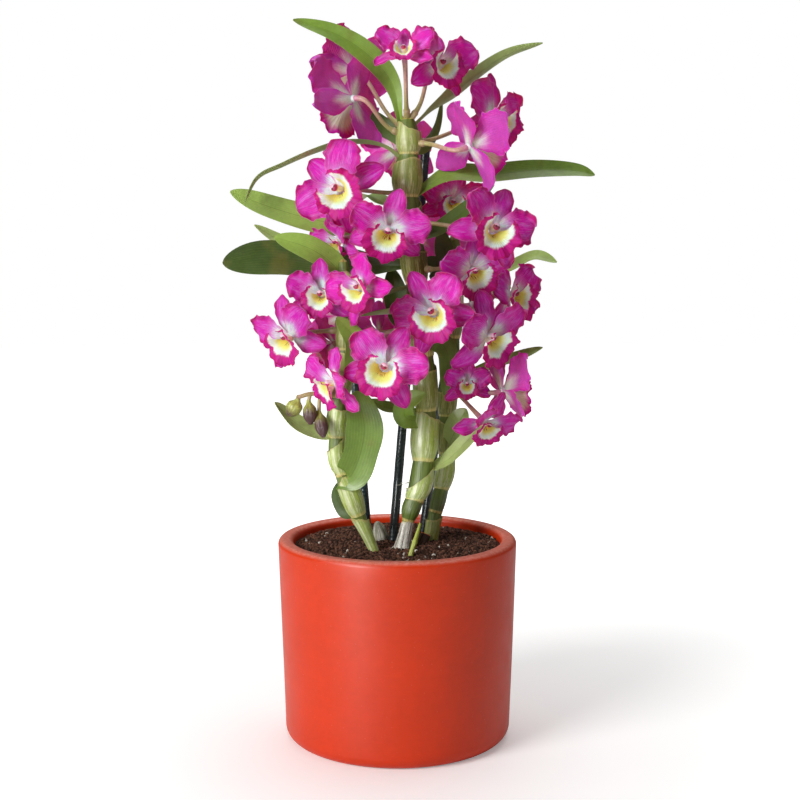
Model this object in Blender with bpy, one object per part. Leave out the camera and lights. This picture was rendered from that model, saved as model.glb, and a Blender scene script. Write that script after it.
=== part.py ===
# Noble-type dendrobium orchid with three leafy canes, flowering in a plain round pot.
# Metres, +Z up. The origin is the centre of the pot's flat base.
import math
import random

import bpy
import bmesh
from mathutils import Matrix, Vector

MM = 0.001

# Pot: a thick cup, a little wider at the rim than at the foot.
POT_HEIGHT = 128.5 * MM
RIM_RADIUS = 75.5 * MM
FOOT_RADIUS = 71.8 * MM
POT_WALL = 9.8 * MM
POT_FLOOR = 11.0 * MM
FOOT_ROUND = 8.0 * MM
LIP_ROUND = 3.4 * MM
POT_SIDES = 44

# Soil: fills the pot to a few millimetres under the rim.
SOIL_TOP = 123.0 * MM
SOIL_MOUND = 2.2 * MM
SOIL_LUMP = 0.7 * MM
SOIL_SIDES = 24
SOIL_RINGS = 5
SEAT_GAP = 0.4 * MM

# Stems and blades
CANE_SIDES = 8
STAKE_SIDES = 8
SHORT_SIDES = 6
STAKE_RADIUS = 2.7 * MM
BLADE = 0.6 * MM
TEPAL_BLADE = 0.62 * MM
LEAF_STATIONS = (0.0, 0.18, 0.42, 0.68, 0.88, 1.0)
STUB_REACH = 3.5 * MM
STUB_RADIUS = 1.7 * MM
PEDICEL_RADIUS = 1.15 * MM
STUB_SIDES = 4
CLEAR_OF_STEM = 2.4 * MM

# Flower of scale 1
SEPAL_LENGTH = 27.0 * MM
SEPAL_WIDTH = 7.4 * MM
PETAL_LENGTH = 27.0 * MM
PETAL_WIDTH = 11.4 * MM
LIP_THROAT = 4.0 * MM
LIP_MARGIN = 13.6 * MM
LIP_DEPTH = 11.5 * MM
LIP_TILT = 14.0
LIP_SWEEP = (84.0, 154.0)
# Outline of a sepal or petal: width of its claw, where it is widest, how late it widens and
# how pointed its tip is.
SEPAL_OUTLINE = (0.30, 0.50, 1.5, 0.65)
PETAL_OUTLINE = (0.20, 0.56, 1.6, 0.45)
# The hub has three storeys: the sepals grow from the lowest, the petals from the next, the lip
# from the upper one.
HUB_RADIUS = 2.8 * MM
HUB_STOREYS = (-1.5 * MM, -0.1 * MM, 1.3 * MM, 3.0 * MM)
COLUMN_LENGTH = 7.0 * MM
COLUMN_RADIUS = 1.6 * MM


for old in list(bpy.data.objects):
    bpy.data.objects.remove(old, do_unlink=True)


def material(name, colour, roughness):
    made = bpy.data.materials.new(name)
    made.use_nodes = True
    shader = made.node_tree.nodes["Principled BSDF"]
    shader.inputs["Base Color"].default_value = (*colour, 1.0)
    shader.inputs["Roughness"].default_value = roughness
    made.diffuse_color = (*colour, 1.0)
    return made


CLAY = material("coral_pot", (0.62, 0.06, 0.025), 0.62)
SOIL = material("potting_soil", (0.035, 0.018, 0.012), 0.95)
GREEN = material("cane_and_leaf", (0.16, 0.30, 0.06), 0.5)
MAGENTA = material("flower_magenta", (0.55, 0.02, 0.30), 0.55)
BUD = material("flower_bud", (0.22, 0.20, 0.08), 0.5)
STAKE = material("green_stake", (0.012, 0.035, 0.035), 0.4)
DRY = material("dry_bulb", (0.35, 0.34, 0.26), 0.8)
SHOOT = material("young_shoot", (0.40, 0.48, 0.06), 0.5)
STUMP = material("dark_stump", (0.05, 0.025, 0.015), 0.8)


def millimetres(point):
    return Vector(point) * MM


def spline(points, steps):
    """Points along a smooth curve through the given ones."""
    ends = [points[0] * 2 - points[1], *points, points[-1] * 2 - points[-2]]
    found = []
    for a, b, c, d in zip(ends, ends[1:], ends[2:], ends[3:]):
        for step in range(steps):
            t = step / steps
            found.append(
                0.5
                * (
                    2 * b
                    + (c - a) * t
                    + (2 * a - 5 * b + 4 * c - d) * t**2
                    + (3 * b - a - 3 * c + d) * t**3
                )
            )
    return found + [points[-1].copy()]


def make_object(name, bm, finish):
    bmesh.ops.recalc_face_normals(bm, faces=bm.faces)
    mesh = bpy.data.meshes.new(name)
    bm.to_mesh(mesh)
    bm.free()
    mesh.materials.append(finish)
    made = bpy.data.objects.new(name, mesh)
    bpy.context.scene.collection.objects.link(made)
    return made


def add_tube(bm, points, radii, sides):
    """A closed round stem along the points, with a flat end at each end."""
    rings = []
    side = Vector((0.0, 1.0, 0.0))
    for i, (point, radius) in enumerate(zip(points, radii)):
        before = points[max(i - 1, 0)]
        after = points[min(i + 1, len(points) - 1)]
        along = (after - before).normalized()
        side = (side - along * side.dot(along)).normalized()
        other = along.cross(side)
        ring = []
        for k in range(sides):
            turn = 2 * math.pi * k / sides
            ring.append(bm.verts.new(point + (side * math.cos(turn) + other * math.sin(turn)) * radius))
        rings.append(ring)
    for low, high in zip(rings, rings[1:]):
        for k in range(sides):
            n = (k + 1) % sides
            bm.faces.new((low[k], low[n], high[n], high[k]))
    bm.faces.new(rings[0][::-1])
    bm.faces.new(rings[-1])


def add_blade(bm, rows, thickness):
    """A thin closed blade about a grid of points, split into the same triangles on both faces."""
    count, across = len(rows), len(rows[0])
    faces = ([], [])
    for i in range(count):
        pair = ([], [])
        for j in range(across):
            along = rows[min(i + 1, count - 1)][j] - rows[max(i - 1, 0)][j]
            over = rows[i][min(j + 1, across - 1)] - rows[i][max(j - 1, 0)]
            normal = along.cross(over).normalized() * (thickness / 2)
            pair[0].append(bm.verts.new(rows[i][j] + normal))
            pair[1].append(bm.verts.new(rows[i][j] - normal))
        faces[0].append(pair[0])
        faces[1].append(pair[1])
    for i in range(count - 1):
        for j in range(across - 1):
            for grid in faces:
                a, b = grid[i][j], grid[i][j + 1]
                c, d = grid[i + 1][j + 1], grid[i + 1][j]
                if (i + j) % 2:
                    bm.faces.new((a, b, c))
                    bm.faces.new((a, c, d))
                else:
                    bm.faces.new((a, b, d))
                    bm.faces.new((b, c, d))
    top, under = faces
    rim = [(i, 0) for i in range(count)]
    rim += [(count - 1, j) for j in range(1, across)]
    rim += [(i, across - 1) for i in range(count - 2, -1, -1)]
    rim += [(0, j) for j in range(across - 2, 0, -1)]
    for (i, j), (m, n) in zip(rim, rim[1:] + rim[:1]):
        bm.faces.new((top[i][j], top[m][n], under[m][n], under[i][j]))


def fused(base, pieces, solver="EXACT"):
    """Joins the pieces to the base as one solid."""
    group = bpy.data.collections.new(base.name + "_pieces")
    bpy.context.scene.collection.children.link(group)
    for piece in pieces:
        bpy.context.scene.collection.objects.unlink(piece)
        group.objects.link(piece)
    union = base.modifiers.new("union", "BOOLEAN")
    union.operation = "UNION"
    union.operand_type = "COLLECTION"
    union.collection = group
    union.solver = solver
    settle(base)
    for piece in pieces:
        bpy.data.objects.remove(piece, do_unlink=True)
    bpy.data.collections.remove(group)


def cut(base, cutters):
    for cutter in cutters:
        cutter.hide_render = True
        cutter.display_type = "WIRE"
        hole = base.modifiers.new("hole", "BOOLEAN")
        hole.operation = "DIFFERENCE"
        hole.object = cutter
    settle(base)
    for cutter in cutters:
        bpy.data.objects.remove(cutter, do_unlink=True)


def settle(base):
    """Puts the modifiers' result into the object's own mesh."""
    bpy.context.view_layer.update()
    graph = bpy.context.evaluated_depsgraph_get()
    finished = bpy.data.meshes.new_from_object(base.evaluated_get(graph))
    base.modifiers.clear()
    base.data = finished
    finished.name = base.name


def rounded_smooth(made, angle=40.0):
    made.data.shade_smooth()
    made.data.set_sharp_from_angle(angle=math.radians(angle))


def stand_at(made, place):
    """Moves an object's origin to its natural place without moving its shape."""
    made.data.transform(place.inverted())
    made.matrix_world = place


# Stems: points run from the foot up. Each joint has its height and the stem's radius there,
# and the internode above it swells to the given radius.

class Stem:
    def __init__(self, name, route, joints, top_radius):
        self.name = name
        self.line = spline([millimetres(p) for p in route], 8)
        self.joints = [(h * MM, r * MM, b * MM) for h, r, b in joints]
        self.top_radius = top_radius * MM

    def at(self, height):
        """The point of the centre line at a height."""
        for a, b in zip(self.line, self.line[1:]):
            if a.z <= height <= b.z:
                return a.lerp(b, (height - a.z) / (b.z - a.z))
        nearest = self.line[0] if height < self.line[0].z else self.line[-1]
        return nearest.copy()

    def radius(self, height):
        lower = [j for j in self.joints if j[0] <= height]
        if not lower:
            return self.joints[0][1]
        low, own, bulge = lower[-1]
        higher = [j for j in self.joints if j[0] > height]
        top, end = (higher[0][0], higher[0][1]) if higher else (self.line[-1].z, self.top_radius)
        share = (height - low) / max(top - low, MM)
        flat = own + (end - own) * share
        return flat + (bulge - (own + end) / 2) * math.sin(math.pi * min(share, 1.0) ** 0.8)

    def heights(self):
        """Ring heights: at each joint, just above it, and high in the internode."""
        found = []
        tops = [j[0] for j in self.joints[1:]] + [self.line[-1].z]
        for (low, _, _), top in zip(self.joints, tops):
            found += [low + (top - low) * share for share in (0.0, 0.14, 0.6)]
        return found + [self.line[-1].z]


CANES = {
    "cane_left": Stem(
        "cane_left",
        [(-10, -23, 112), (-15, -24, 126), (-24, -24, 147), (-30, -26, 164), (-36, -28, 180),
         (-37, -28, 197), (-36, -28, 213), (-33, -26, 235), (-32, -24, 256), (-32, -22, 280),
         (-33, -20, 303)],
        [(112, 2.6, 2.6), (148, 4.6, 6.2), (174, 4.2, 5.4), (197, 4.8, 6.2), (221, 4.6, 5.8),
         (250, 4.4, 5.4), (278, 4.0, 4.8)],
        2.6,
    ),
    "cane_middle": Stem(
        "cane_middle",
        [(1, -18, 112), (3, -18, 125), (8, -18, 148), (14, -16, 164), (16, -14, 180),
         (17, -12, 198), (18, -10, 214), (17, -10, 230), (15, -10, 254), (13, -8, 279),
         (10, -6, 304), (7, -5, 328), (6, -5, 350), (7, -5, 371), (6, -5, 390)],
        [(112, 5.4, 5.4), (143, 4.2, 6.0), (156, 5.6, 7.2), (180, 6.2, 8.2), (211, 6.0, 7.4),
         (245, 6.4, 7.8), (290, 6.2, 8.0), (319, 6.4, 8.4), (343, 6.6, 9.0), (369, 5.8, 7.2)],
        4.0,
    ),
    "cane_right": Stem(
        "cane_right",
        [(18, 4, 112), (21, 5, 125), (24, 8, 141), (28, 10, 157), (31, 12, 172), (31, 14, 195),
         (32, 16, 214), (34, 18, 239), (36, 20, 265), (37, 20, 290), (36, 20, 318)],
        [(112, 4.0, 4.2), (143, 4.2, 5.0), (158, 4.6, 5.6), (180, 4.6, 5.6), (204, 4.6, 5.8),
         (228, 4.6, 5.6), (254, 4.4, 5.4), (284, 4.0, 4.8)],
        2.8,
    ),
}

STAKES = {
    "stake_middle": [(-4, 1, 112), (18, 22, 375)],
    "stake_left": [(-19, 36, 112), (-29, 20, 248)],
    "stake_right": [(15, 28, 112), (38, 37, 283)],
}

# Leaves: the stem that carries the leaf, the points of its midrib from the stem to the tip,
# half its width, the way its upper face looks, and how deeply it is folded.
LEAVES = [
    ("cane_middle", [(2, -5, 388), (-3, -10, 410), (-16, -18, 429), (-36, -21, 441), (-62, -23, 448)],
     7.0, (-0.2, -0.9, 0.4), 0.25),
    ("cane_middle", [(8, -3, 382), (19, 8, 394), (33, 16, 405), (48, 16, 419), (68, 14, 431),
                     (91, 13, 436)],
     5.6, (0, 0.55, 0.8), 0.3),
    ("cane_middle", [(9, 0, 368), (17, 10, 374), (24, 18, 386), (28, 26, 404)],
     4.4, (0.8, -0.3, 0.2), 0.3),
    ("cane_middle", [(3, -6, 364), (-10, -8, 373), (-30, -11, 375), (-50, -14, 370), (-70, -17, 362),
                     (-84, -19, 353), (-92, -21, 339)],
     6.2, (-0.1, 0.1, 1), 0.35),
    ("cane_middle", [(5, -5, 320), (-20, 0, 323), (-50, -4, 329), (-78, -8, 337), (-102, -12, 346)],
     7.4, (0.2, -0.95, 0.35), 0.2),
    ("cane_middle", [(8, -4, 300), (-20, 8, 300), (-50, 11, 301), (-80, 7, 305), (-109, 2, 302)],
     10.0, (0.1, -0.95, 0.3), 0.2),
    ("cane_left", [(-32, -22, 286), (-38, -20, 300), (-53, -24, 311), (-74, -27, 318)],
     8.0, (0.3, -0.95, 0.3), 0.2),
    ("cane_middle", [(9, -4, 305), (-20, 16, 304), (-50, 27, 305), (-75, 27, 315), (-91, 24, 325)],
     5.4, (0.3, -0.8, 0.5), 0.25),
    ("cane_middle", [(6, -3, 371), (-4, 6, 381), (-11, 10, 388), (-15, 13, 395)],
     6.0, (0.3, -0.9, 0), 0.25),
    ("cane_middle", [(9, -5, 340), (22, -5, 351), (35, -3, 356), (55, 1, 358), (84, 5, 363),
                     (110, 8, 363), (123, 9, 359)],
     6.4, (-0.1, -0.6, 0.8), 0.3),
    ("cane_middle", [(10, -3, 315), (26, -1, 322), (42, 1, 334), (60, 5, 350)],
     6.0, (-0.4, -0.7, 0.5), 0.3),
    ("cane_right", [(36, 20, 284), (52, 27, 290), (74, 26, 300), (88, 22, 307), (101, 18, 304)],
     5.4, (-0.2, -0.5, 0.8), 0.3),
    ("cane_right", [(34, 18, 226), (58, 18, 235), (78, 14, 242), (92, 11, 248)],
     4.6, (-0.3, -0.6, 0.7), 0.3),
    ("cane_middle", [(12, -9, 269), (6, -22, 271), (-6, -30, 272), (-22, -37, 271)],
     6.2, (0, 0.35, 1), 0.3),
    ("cane_middle", [(11, -8, 288), (0, -18, 285), (-10, -23, 282), (-20, -24, 279)],
     6.0, (0, 0.2, 1), 0.3),
    ("cane_left", [(-34, -26, 226), (-25, -38, 243), (-25, -44, 257), (-36, -47, 271)],
     7.4, (0.1, -0.95, 0.2), 0.2),
    ("cane_middle", [(17, -10, 251), (25, -14, 254), (32, -17, 246), (31, -18, 222)],
     5.6, (0.1, -0.9, 0.2), 0.2),
    ("cane_left", [(-34, -27, 171), (-28, -34, 174), (-22, -37, 189), (-20, -39, 206), (-25, -38, 226)],
     11.0, (0.1, -0.98, 0.15), 0.15),
    ("cane_left", [(-36, -27, 195), (-50, -25, 199), (-64, -25, 207), (-75, -26, 218)],
     5.6, (0.5, -0.2, 0.8), 0.3),
    ("cane_left", [(-25, -25, 146), (-33, -19, 148), (-38, -16, 157), (-37, -15, 166)],
     4.4, (-0.7, -0.5, 0.3), 0.2),
    ("cane_middle", [(15, -12, 203), (5, -23, 208), (6, -29, 218), (17, -32, 224)],
     7.0, (-0.2, -0.9, 0.4), 0.15),
    ("cane_middle", [(16, -11, 209), (1, -16, 212), (-8, -22, 214), (-17, -27, 219)],
     5.0, (0, -0.7, 0.7), 0.3),
    ("cane_right", [(31, 13, 179), (35, 3, 192), (39, -3, 202), (43, -5, 211)],
     7.0, (-0.5, -0.8, 0.3), 0.3),
    ("cane_middle", [(15, -14, 172), (30, -15, 179), (42, -18, 191), (53, -20, 205)],
     6.4, (0.1, -0.5, 0.85), 0.3),
    ("cane_middle", [(5, -3, 335), (-8, 22, 338), (-18, 46, 344), (-26, 70, 340)],
     6.4, (0, -0.3, 1), 0.3),
    ("cane_left", [(-32, -23, 270), (-45, 8, 283), (-57, 36, 293), (-70, 58, 292)],
     6.4, (0, -0.3, 1), 0.3),
    ("cane_right", [(37, 20, 264), (54, 38, 274), (66, 60, 284), (76, 78, 282)],
     6.0, (0, -0.3, 1), 0.3),
    ("cane_right", [(31, 16, 207), (20, 21, 213), (8, 36, 226), (-2, 56, 240), (-8, 70, 244)],
     6.2, (0.3, 0.4, 0.9), 0.3),
]

# Flowers: the stem and height that carry it, its centre, the way it faces (degrees right of
# the front, degrees up), its turn about that way, its scale, and how far it is opened.
FLOWERS = {
    "bloom_top_back_left": ("cane_middle", 382, (-28, 24, 421), -148, 8, 43, 1.12, 0.85),
    "bloom_top_left": ("cane_middle", 378, (-27, -11, 401), -130, -11, 22, 1.19, 0.85),
    "bloom_crown": ("cane_middle", 389, (4, -29, 426), -7, 45, 2, 0.72, 0.45),
    "bloom_crown_right": ("cane_middle", 387, (24, -9, 421), 38, 16, -10, 0.95, 0.75),
    "bloom_top_right": ("cane_middle", 375, (43, -25, 372), 124, 24, 16, 1.2, 0.9),
    "bloom_top_far_right": ("cane_middle", 374, (58, 14, 391), 56, 8, -15, 1.08, 0.85),
    "bloom_upper_left": ("cane_middle", 344, (-34, -30, 347), -26, 0, 52, 1.05, 0.95),
    "bloom_upper_under": ("cane_middle", 311, (-35, -13, 316), -54, -20, 11, 0.73, 0.5),
    "bloom_upper_middle": ("cane_middle", 322, (-5, -42, 323), -5, -18, -12, 0.92, 0.95),
    "bloom_upper_shade": ("cane_right", 312, (34, 15, 340), 10, -6, -13, 0.8, 0.6),
    "bloom_upper_right": ("cane_middle", 327, (56, -36, 323), 24, 6, -26, 1.0, 0.9),
    "bloom_right_slope": ("cane_middle", 298, (44, -28, 299), 30, -15, 8, 0.94, 0.85),
    "bloom_left_round": ("cane_left", 290, (-45, -33, 284), -16, 2, 0, 0.8, 0.65),
    "bloom_left_front": ("cane_left", 296, (-20, -55, 289), -46, 4, 31, 0.85, 0.75),
    "bloom_far_left": ("cane_left", 262, (-65, -23, 258), -44, -10, 14, 0.95, 0.8),
    "bloom_left_under": ("cane_left", 258, (-40, -9, 252), -125, -20, 0, 0.8, 0.7),
    "bloom_low_left": ("cane_left", 236, (-37, -51, 233), -57, -13, -14, 0.83, 0.8),
    "bloom_low_front": ("cane_left", 261, (-7, -60, 243), -9, 1, -26, 0.97, 0.95),
    "bloom_inner": ("cane_middle", 262, (-12, 6, 258), -150, 0, 0, 0.68, 0.6),
    "bloom_centre": ("cane_middle", 292, (22, -43, 274), -18, 2, 30, 0.98, 0.95),
    "bloom_right_inner": ("cane_right", 287, (46, -8, 276), 65, 14, 3, 0.72, 0.7),
    "bloom_right_front": ("cane_right", 269, (54, -33, 259), 40, -10, 10, 1.0, 0.8),
    "bloom_far_right": ("cane_right", 290, (70, 1, 281), 46, 14, 14, 0.95, 0.8),
    "bloom_low_shade": ("cane_right", 242, (43, -15, 228), 0, -3, 0, 0.58, 0.5),
    "bloom_low_right": ("cane_right", 232, (65, -14, 223), 114, 12, -12, 1.05, 0.8),
    "bloom_lowest_right": ("cane_right", 222, (53, -37, 207), 32, -24, -20, 0.75, 0.75),
    "bloom_rear_top": ("cane_middle", 350, (0, 36, 372), 172, 10, 0, 0.95, 0.9),
    "bloom_rear_upper": ("cane_middle", 316, (10, 44, 318), 165, 0, 0, 0.95, 0.9),
    "bloom_rear_left": ("cane_left", 273, (-36, 24, 267), -163, 8, 5, 0.95, 0.9),
    "bloom_rear_low": ("cane_right", 250, (14, 54, 262), 178, -5, 0, 0.95, 0.9),
    "bloom_rear_right": ("cane_right", 300, (50, 46, 312), 145, 5, 0, 0.9, 0.9),
}

# Buds still closed, on one short stalk: centre, the way the tip points, length and radius.
BUD_STALK = ("cane_left", 223, [(-44, -33, 223), (-52, -36, 224), (-60, -37, 222)])
BUDS = [
    ((-63, -36, 216), (-0.5, 0.1, -0.8), 11.5, 4.3),
    ((-53, -38, 213), (0.1, -0.3, -1.0), 14.0, 3.8),
    ((-46, -39, 206), (0.2, -0.4, -1.0), 16.0, 3.9),
]

# Short stems that stand in the soil beside the canes: points, radii and finish.
SHORT_STEMS = {
    "old_bulb": ([(-10, 6, 112), (-10, 6, 122), (-11, 5, 128), (-12, 4, 133), (-13, 3, 137)],
                (3.0, 3.8, 4.6, 3.8, 1.4), DRY),
    "young_shoot": ([(6, -41, 112), (8, -40, 125), (11, -37, 134), (14, -34, 144)],
                   (1.4, 1.6, 1.5, 0.6), SHOOT),
    "cut_stump": ([(13, -8, 112), (15, -6, 124), (18, -4, 131)],
                 (3.2, 3.4, 3.0), STUMP),
}


def leaf_rows(points, half_width, face, fold):
    """The grid of a strap-like leaf with a folded midrib and a pointed tip."""
    fine = spline([millimetres(p) for p in points], 6)
    last = len(fine) - 1
    line = [fine[round(last * share)] for share in LEAF_STATIONS]
    face = Vector(face).normalized()
    rows = []
    for i, point in enumerate(line):
        share = LEAF_STATIONS[i]
        along = (line[min(i + 1, len(line) - 1)] - line[max(i - 1, 0)]).normalized()
        over = along.cross(face).normalized()
        lift = over.cross(along).normalized()
        swell = (share + 0.10) ** 0.45 * (1.0 - share) ** 0.5 * 1.75
        half = max(half_width * MM * min(swell, 1.0), 0.9 * MM)
        raised = point + lift * half * fold
        rows.append([raised - over * half, point, raised + over * half])
    return rows


def tepal_rows(turn, length, half_width, rise, curl, shape, layer, ruffle, phase, stations, across):
    """The grid of a sepal or petal. It leaves the centre at the angle `turn`, rises forwards by
    `rise` degrees at its base and curls back by `curl` degrees on the way to its tip."""
    claw, peak, power, tip = shape
    out = Vector((math.cos(turn), math.sin(turn), 0.0))
    over = Vector((-math.sin(turn), math.cos(turn), 0.0))
    front = Vector((0.0, 0.0, 1.0))
    start = math.radians(rise)
    bend = math.radians(-curl)
    rows = []
    for s in stations:
        angle = start + bend * s
        reach = length * (math.sin(angle) - math.sin(start)) / bend
        height = length * (math.cos(start) - math.cos(angle)) / bend
        middle = out * (1.2 * MM + reach) + front * (layer + height)
        normal = front * math.cos(angle) - out * math.sin(angle)
        widening = claw + (1 - claw) * math.sin(math.pi / 2 * min(s / peak, 1)) ** power
        closing = max(1 - max((s - peak) / (1 - peak), 0) ** 2, 0.02) ** tip
        width = half_width * widening * closing
        row = []
        for j in range(across + 1):
            t = 2 * j / across - 1
            wave = ruffle * s * abs(t) ** 1.5 * math.sin(9.5 * s + phase + 1.7 * t)
            row.append(middle + over * width * t + normal * (wave + 0.10 * width * t * t))
        rows.append(row)
    return rows


LIP_FOOT = Vector((0.0, 0.2, 1.9)) * MM


def lip_rows(scale, phase, stations, across):
    """The grid of the lip: a funnel open at the top, flaring to a waved margin."""
    tilt = math.radians(LIP_TILT)
    axis = Vector((0.0, -math.sin(tilt), math.cos(tilt)))
    down = Vector((0.0, -math.cos(tilt), -math.sin(tilt)))
    side = Vector((1.0, 0.0, 0.0))
    rows = []
    for u in stations:
        sweep = math.radians(LIP_SWEEP[0] + (LIP_SWEEP[1] - LIP_SWEEP[0]) * u)
        depth = LIP_DEPTH * (1 - (1 - u) ** 1.6)
        row = []
        for j in range(across + 1):
            v = 2 * j / across - 1
            turn = sweep * v
            flare = LIP_THROAT + (LIP_MARGIN - LIP_THROAT) * u**1.7
            flare *= 1 + 0.20 * u * math.cos(turn)
            wave = 1.3 * MM * u**2 * math.sin(5.2 * turn + phase)
            point = axis * (depth + wave) + (down * math.cos(turn) + side * math.sin(turn)) * flare
            row.append((point + LIP_FOOT) * scale)
        rows.append(row)
    return rows


def facing(centre, right, up, roll):
    """The placing of a flower: its own +Z looks out of the flower and +Y to its top sepal."""
    a, e = math.radians(right), math.radians(up)
    look = Vector((math.sin(a) * math.cos(e), -math.cos(a) * math.cos(e), math.sin(e)))
    across = Vector((0.0, 0.0, 1.0)).cross(look).normalized()
    above = look.cross(across)
    turned = Matrix((across, above, look)).transposed().to_4x4()
    return Matrix.Translation(millimetres(centre)) @ turned @ Matrix.Rotation(math.radians(roll), 4, "Z")


def rods():
    """Every stem and stake as (points, radii), for what has to bend clear of them."""
    found = []
    for cane in CANES.values():
        found.append((cane.line, [cane.radius(p.z) for p in cane.line]))
    for ends in STAKES.values():
        line = [millimetres(p) for p in ends]
        found.append((line, [STAKE_RADIUS] * len(line)))
    return found


RODS = rods()


def bent_clear(point):
    """Moves a point of a petal straight out of any stem that it comes too near."""
    for line, radii in RODS:
        for a, b, radius in zip(line, line[1:], radii):
            run = b - a
            share = min(max((point - a).dot(run) / run.length_squared, 0.0), 1.0)
            foot = a + run * share
            away = point - foot
            need = radius + CLEAR_OF_STEM
            if away.length < need:
                point = foot + away.normalized() * need
    return point


def stub_of(flower):
    """Where a flower's short stalk base leaves the cane: its foot, its end and its direction."""
    cane, height, centre = FLOWERS[flower][:3]
    foot = CANES[cane].at(height * MM)
    way = millimetres(centre) - foot
    level = Vector((way.x, way.y, way.z * 0.7)).normalized()
    end = foot + level * (CANES[cane].radius(height * MM) + STUB_REACH)
    return foot, end, level


def skin(bm, first, last):
    """Triangles between two rows of vertices. A row of two opens out as a fan."""
    if len(first) < len(last):
        middle = len(last) // 2
        for j in range(len(last) - 1):
            bm.faces.new((first[0] if j < middle else first[1], last[j], last[j + 1]))
        bm.faces.new((first[0], last[middle], first[1]))
        return
    for j in range(len(first) - 1):
        a, b, c, d = first[j], first[j + 1], last[j + 1], last[j]
        bm.faces.new((a, b, c))
        bm.faces.new((a, c, d))


def add_arm(bm, front, back, rows, thickness):
    """Grows one sepal, petal or lip out of a side of the hub, as a blade about a grid of points."""
    for i in range(1, len(rows)):
        tops, unders = [], []
        for j in range(len(rows[i])):
            along = rows[min(i + 1, len(rows) - 1)][j] - rows[i - 1][j]
            over = rows[i][min(j + 1, len(rows[i]) - 1)] - rows[i][max(j - 1, 0)]
            normal = along.cross(over).normalized() * (thickness / 2)
            tops.append(bm.verts.new(rows[i][j] + normal))
            unders.append(bm.verts.new(rows[i][j] - normal))
        skin(bm, front, tops)
        skin(bm, back, unders)
        for old_top, old_under, top, under in ((front[0], back[0], tops[0], unders[0]),
                                               (front[-1], back[-1], tops[-1], unders[-1])):
            bm.faces.new((old_top, old_under, under, top))
        front, back = tops, unders
    skin(bm, front, back)


def add_ring(bm, centre, along, side, radius):
    side = (side - along * side.dot(along)).normalized()
    other = along.cross(side)
    turns = [math.radians(60 * k) for k in range(6)]
    return [bm.verts.new(centre + (side * math.cos(t) + other * math.sin(t)) * radius) for t in turns]


def bridge(bm, first, last):
    for k in range(6):
        n = (k + 1) % 6
        bm.faces.new((first[k], first[n], last[n], last[k]))


# Storey and side of the hub that each sepal, petal and the lip grow from.
ARM_SIDES = [(0, 1), (0, 3), (0, 5), (1, 0), (1, 2), (2, 4)]


def build_flower(name):
    """One solid: a six-sided hub with three sepals and two petals round it, the lip and the
    column in front of them and the flower stalk behind."""
    cane, height, centre, right, up, roll, scale, opened = FLOWERS[name]
    chance = random.Random(name)
    place = facing(centre, right, up, roll)
    turned = place.to_3x3()
    look, side = turned @ Vector((0, 0, 1)), turned @ Vector((1, 0, 0))
    hub = place.translation
    bm = bmesh.new()
    rings = [add_ring(bm, hub + look * z * scale, look, side, HUB_RADIUS * scale) for z in HUB_STOREYS]
    sides = {(storey, k) for storey in range(3) for k in range(6)} - set(ARM_SIDES)
    for storey, k in sorted(sides):
        n = (k + 1) % 6
        low, high = rings[storey], rings[storey + 1]
        bm.faces.new((low[k], low[n], high[n], high[k]))
    tip = hub + look * COLUMN_LENGTH * scale + turned @ Vector((0, 0.8 * MM, 0))
    column = add_ring(bm, tip, look, side, COLUMN_RADIUS * scale)
    bridge(bm, rings[3], column)
    bm.faces.new(column)

    _, end, way = stub_of(name)
    start = end + way * SEAT_GAP
    reach = (hub - start).length * 0.4
    near, far = start + way * reach, hub - look * (reach + 3 * MM)
    last = rings[0]
    for t, radius in ((0.88, 1.5), (0.6, 1.0), (0.3, 1.0), (0.0, 1.1)):
        point = start * (1 - t) ** 3 + near * 3 * t * (1 - t) ** 2 + far * 3 * t * t * (1 - t) + hub * t**3
        slope = (near - start) * (1 - t) ** 2 + (far - near) * 2 * t * (1 - t) + (hub - far) * t * t
        ring = add_ring(bm, point, slope.normalized(), side, PEDICEL_RADIUS * radius)
        bridge(bm, last, ring)
        last = ring
    bm.faces.new(last)

    closed = 40 * (1 - opened)
    arms = {}
    for k, turn in ((1, 90), (3, 212), (5, 328)):
        length = SEPAL_LENGTH * scale * chance.uniform(0.95, 1.05)
        curl = 30 + chance.uniform(0, 14)
        arms[k] = tepal_rows(math.radians(turn + chance.uniform(-5, 5)), length, SEPAL_WIDTH * scale,
                             4 + closed, curl, SEPAL_OUTLINE, -0.8 * MM, 0.9 * MM, chance.uniform(0, 6),
                             (0.0, 0.3, 0.68, 1.0), 1)
    for k, turn in ((0, 25), (2, 155)):
        length = PETAL_LENGTH * scale * chance.uniform(0.96, 1.04)
        curl = 26 + chance.uniform(0, 12)
        arms[k] = tepal_rows(math.radians(turn + chance.uniform(-4, 4)), length, PETAL_WIDTH * scale,
                             22 + closed, curl, PETAL_OUTLINE, 1.1 * MM, 1.3 * MM, chance.uniform(0, 6),
                             (0.0, 0.26, 0.54, 0.82, 1.0), 2)
    arms[4] = lip_rows(scale * (0.65 + 0.35 * opened), chance.uniform(0, 6), (0.0, 0.34, 0.72, 1.0), 6)
    for storey, k in ARM_SIDES:
        rows = [[bent_clear(place @ point) for point in row] for row in arms[k]]
        n = (k + 1) % 6
        low, high = rings[storey], rings[storey + 1]
        add_arm(bm, [high[k], high[n]], [low[k], low[n]], rows, TEPAL_BLADE)
    bmesh.ops.triangulate(bm, faces=[f for f in bm.faces if len(f.verts) > 3])
    flower = make_object(name, bm, MAGENTA)
    stand_at(flower, place)
    return flower


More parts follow.
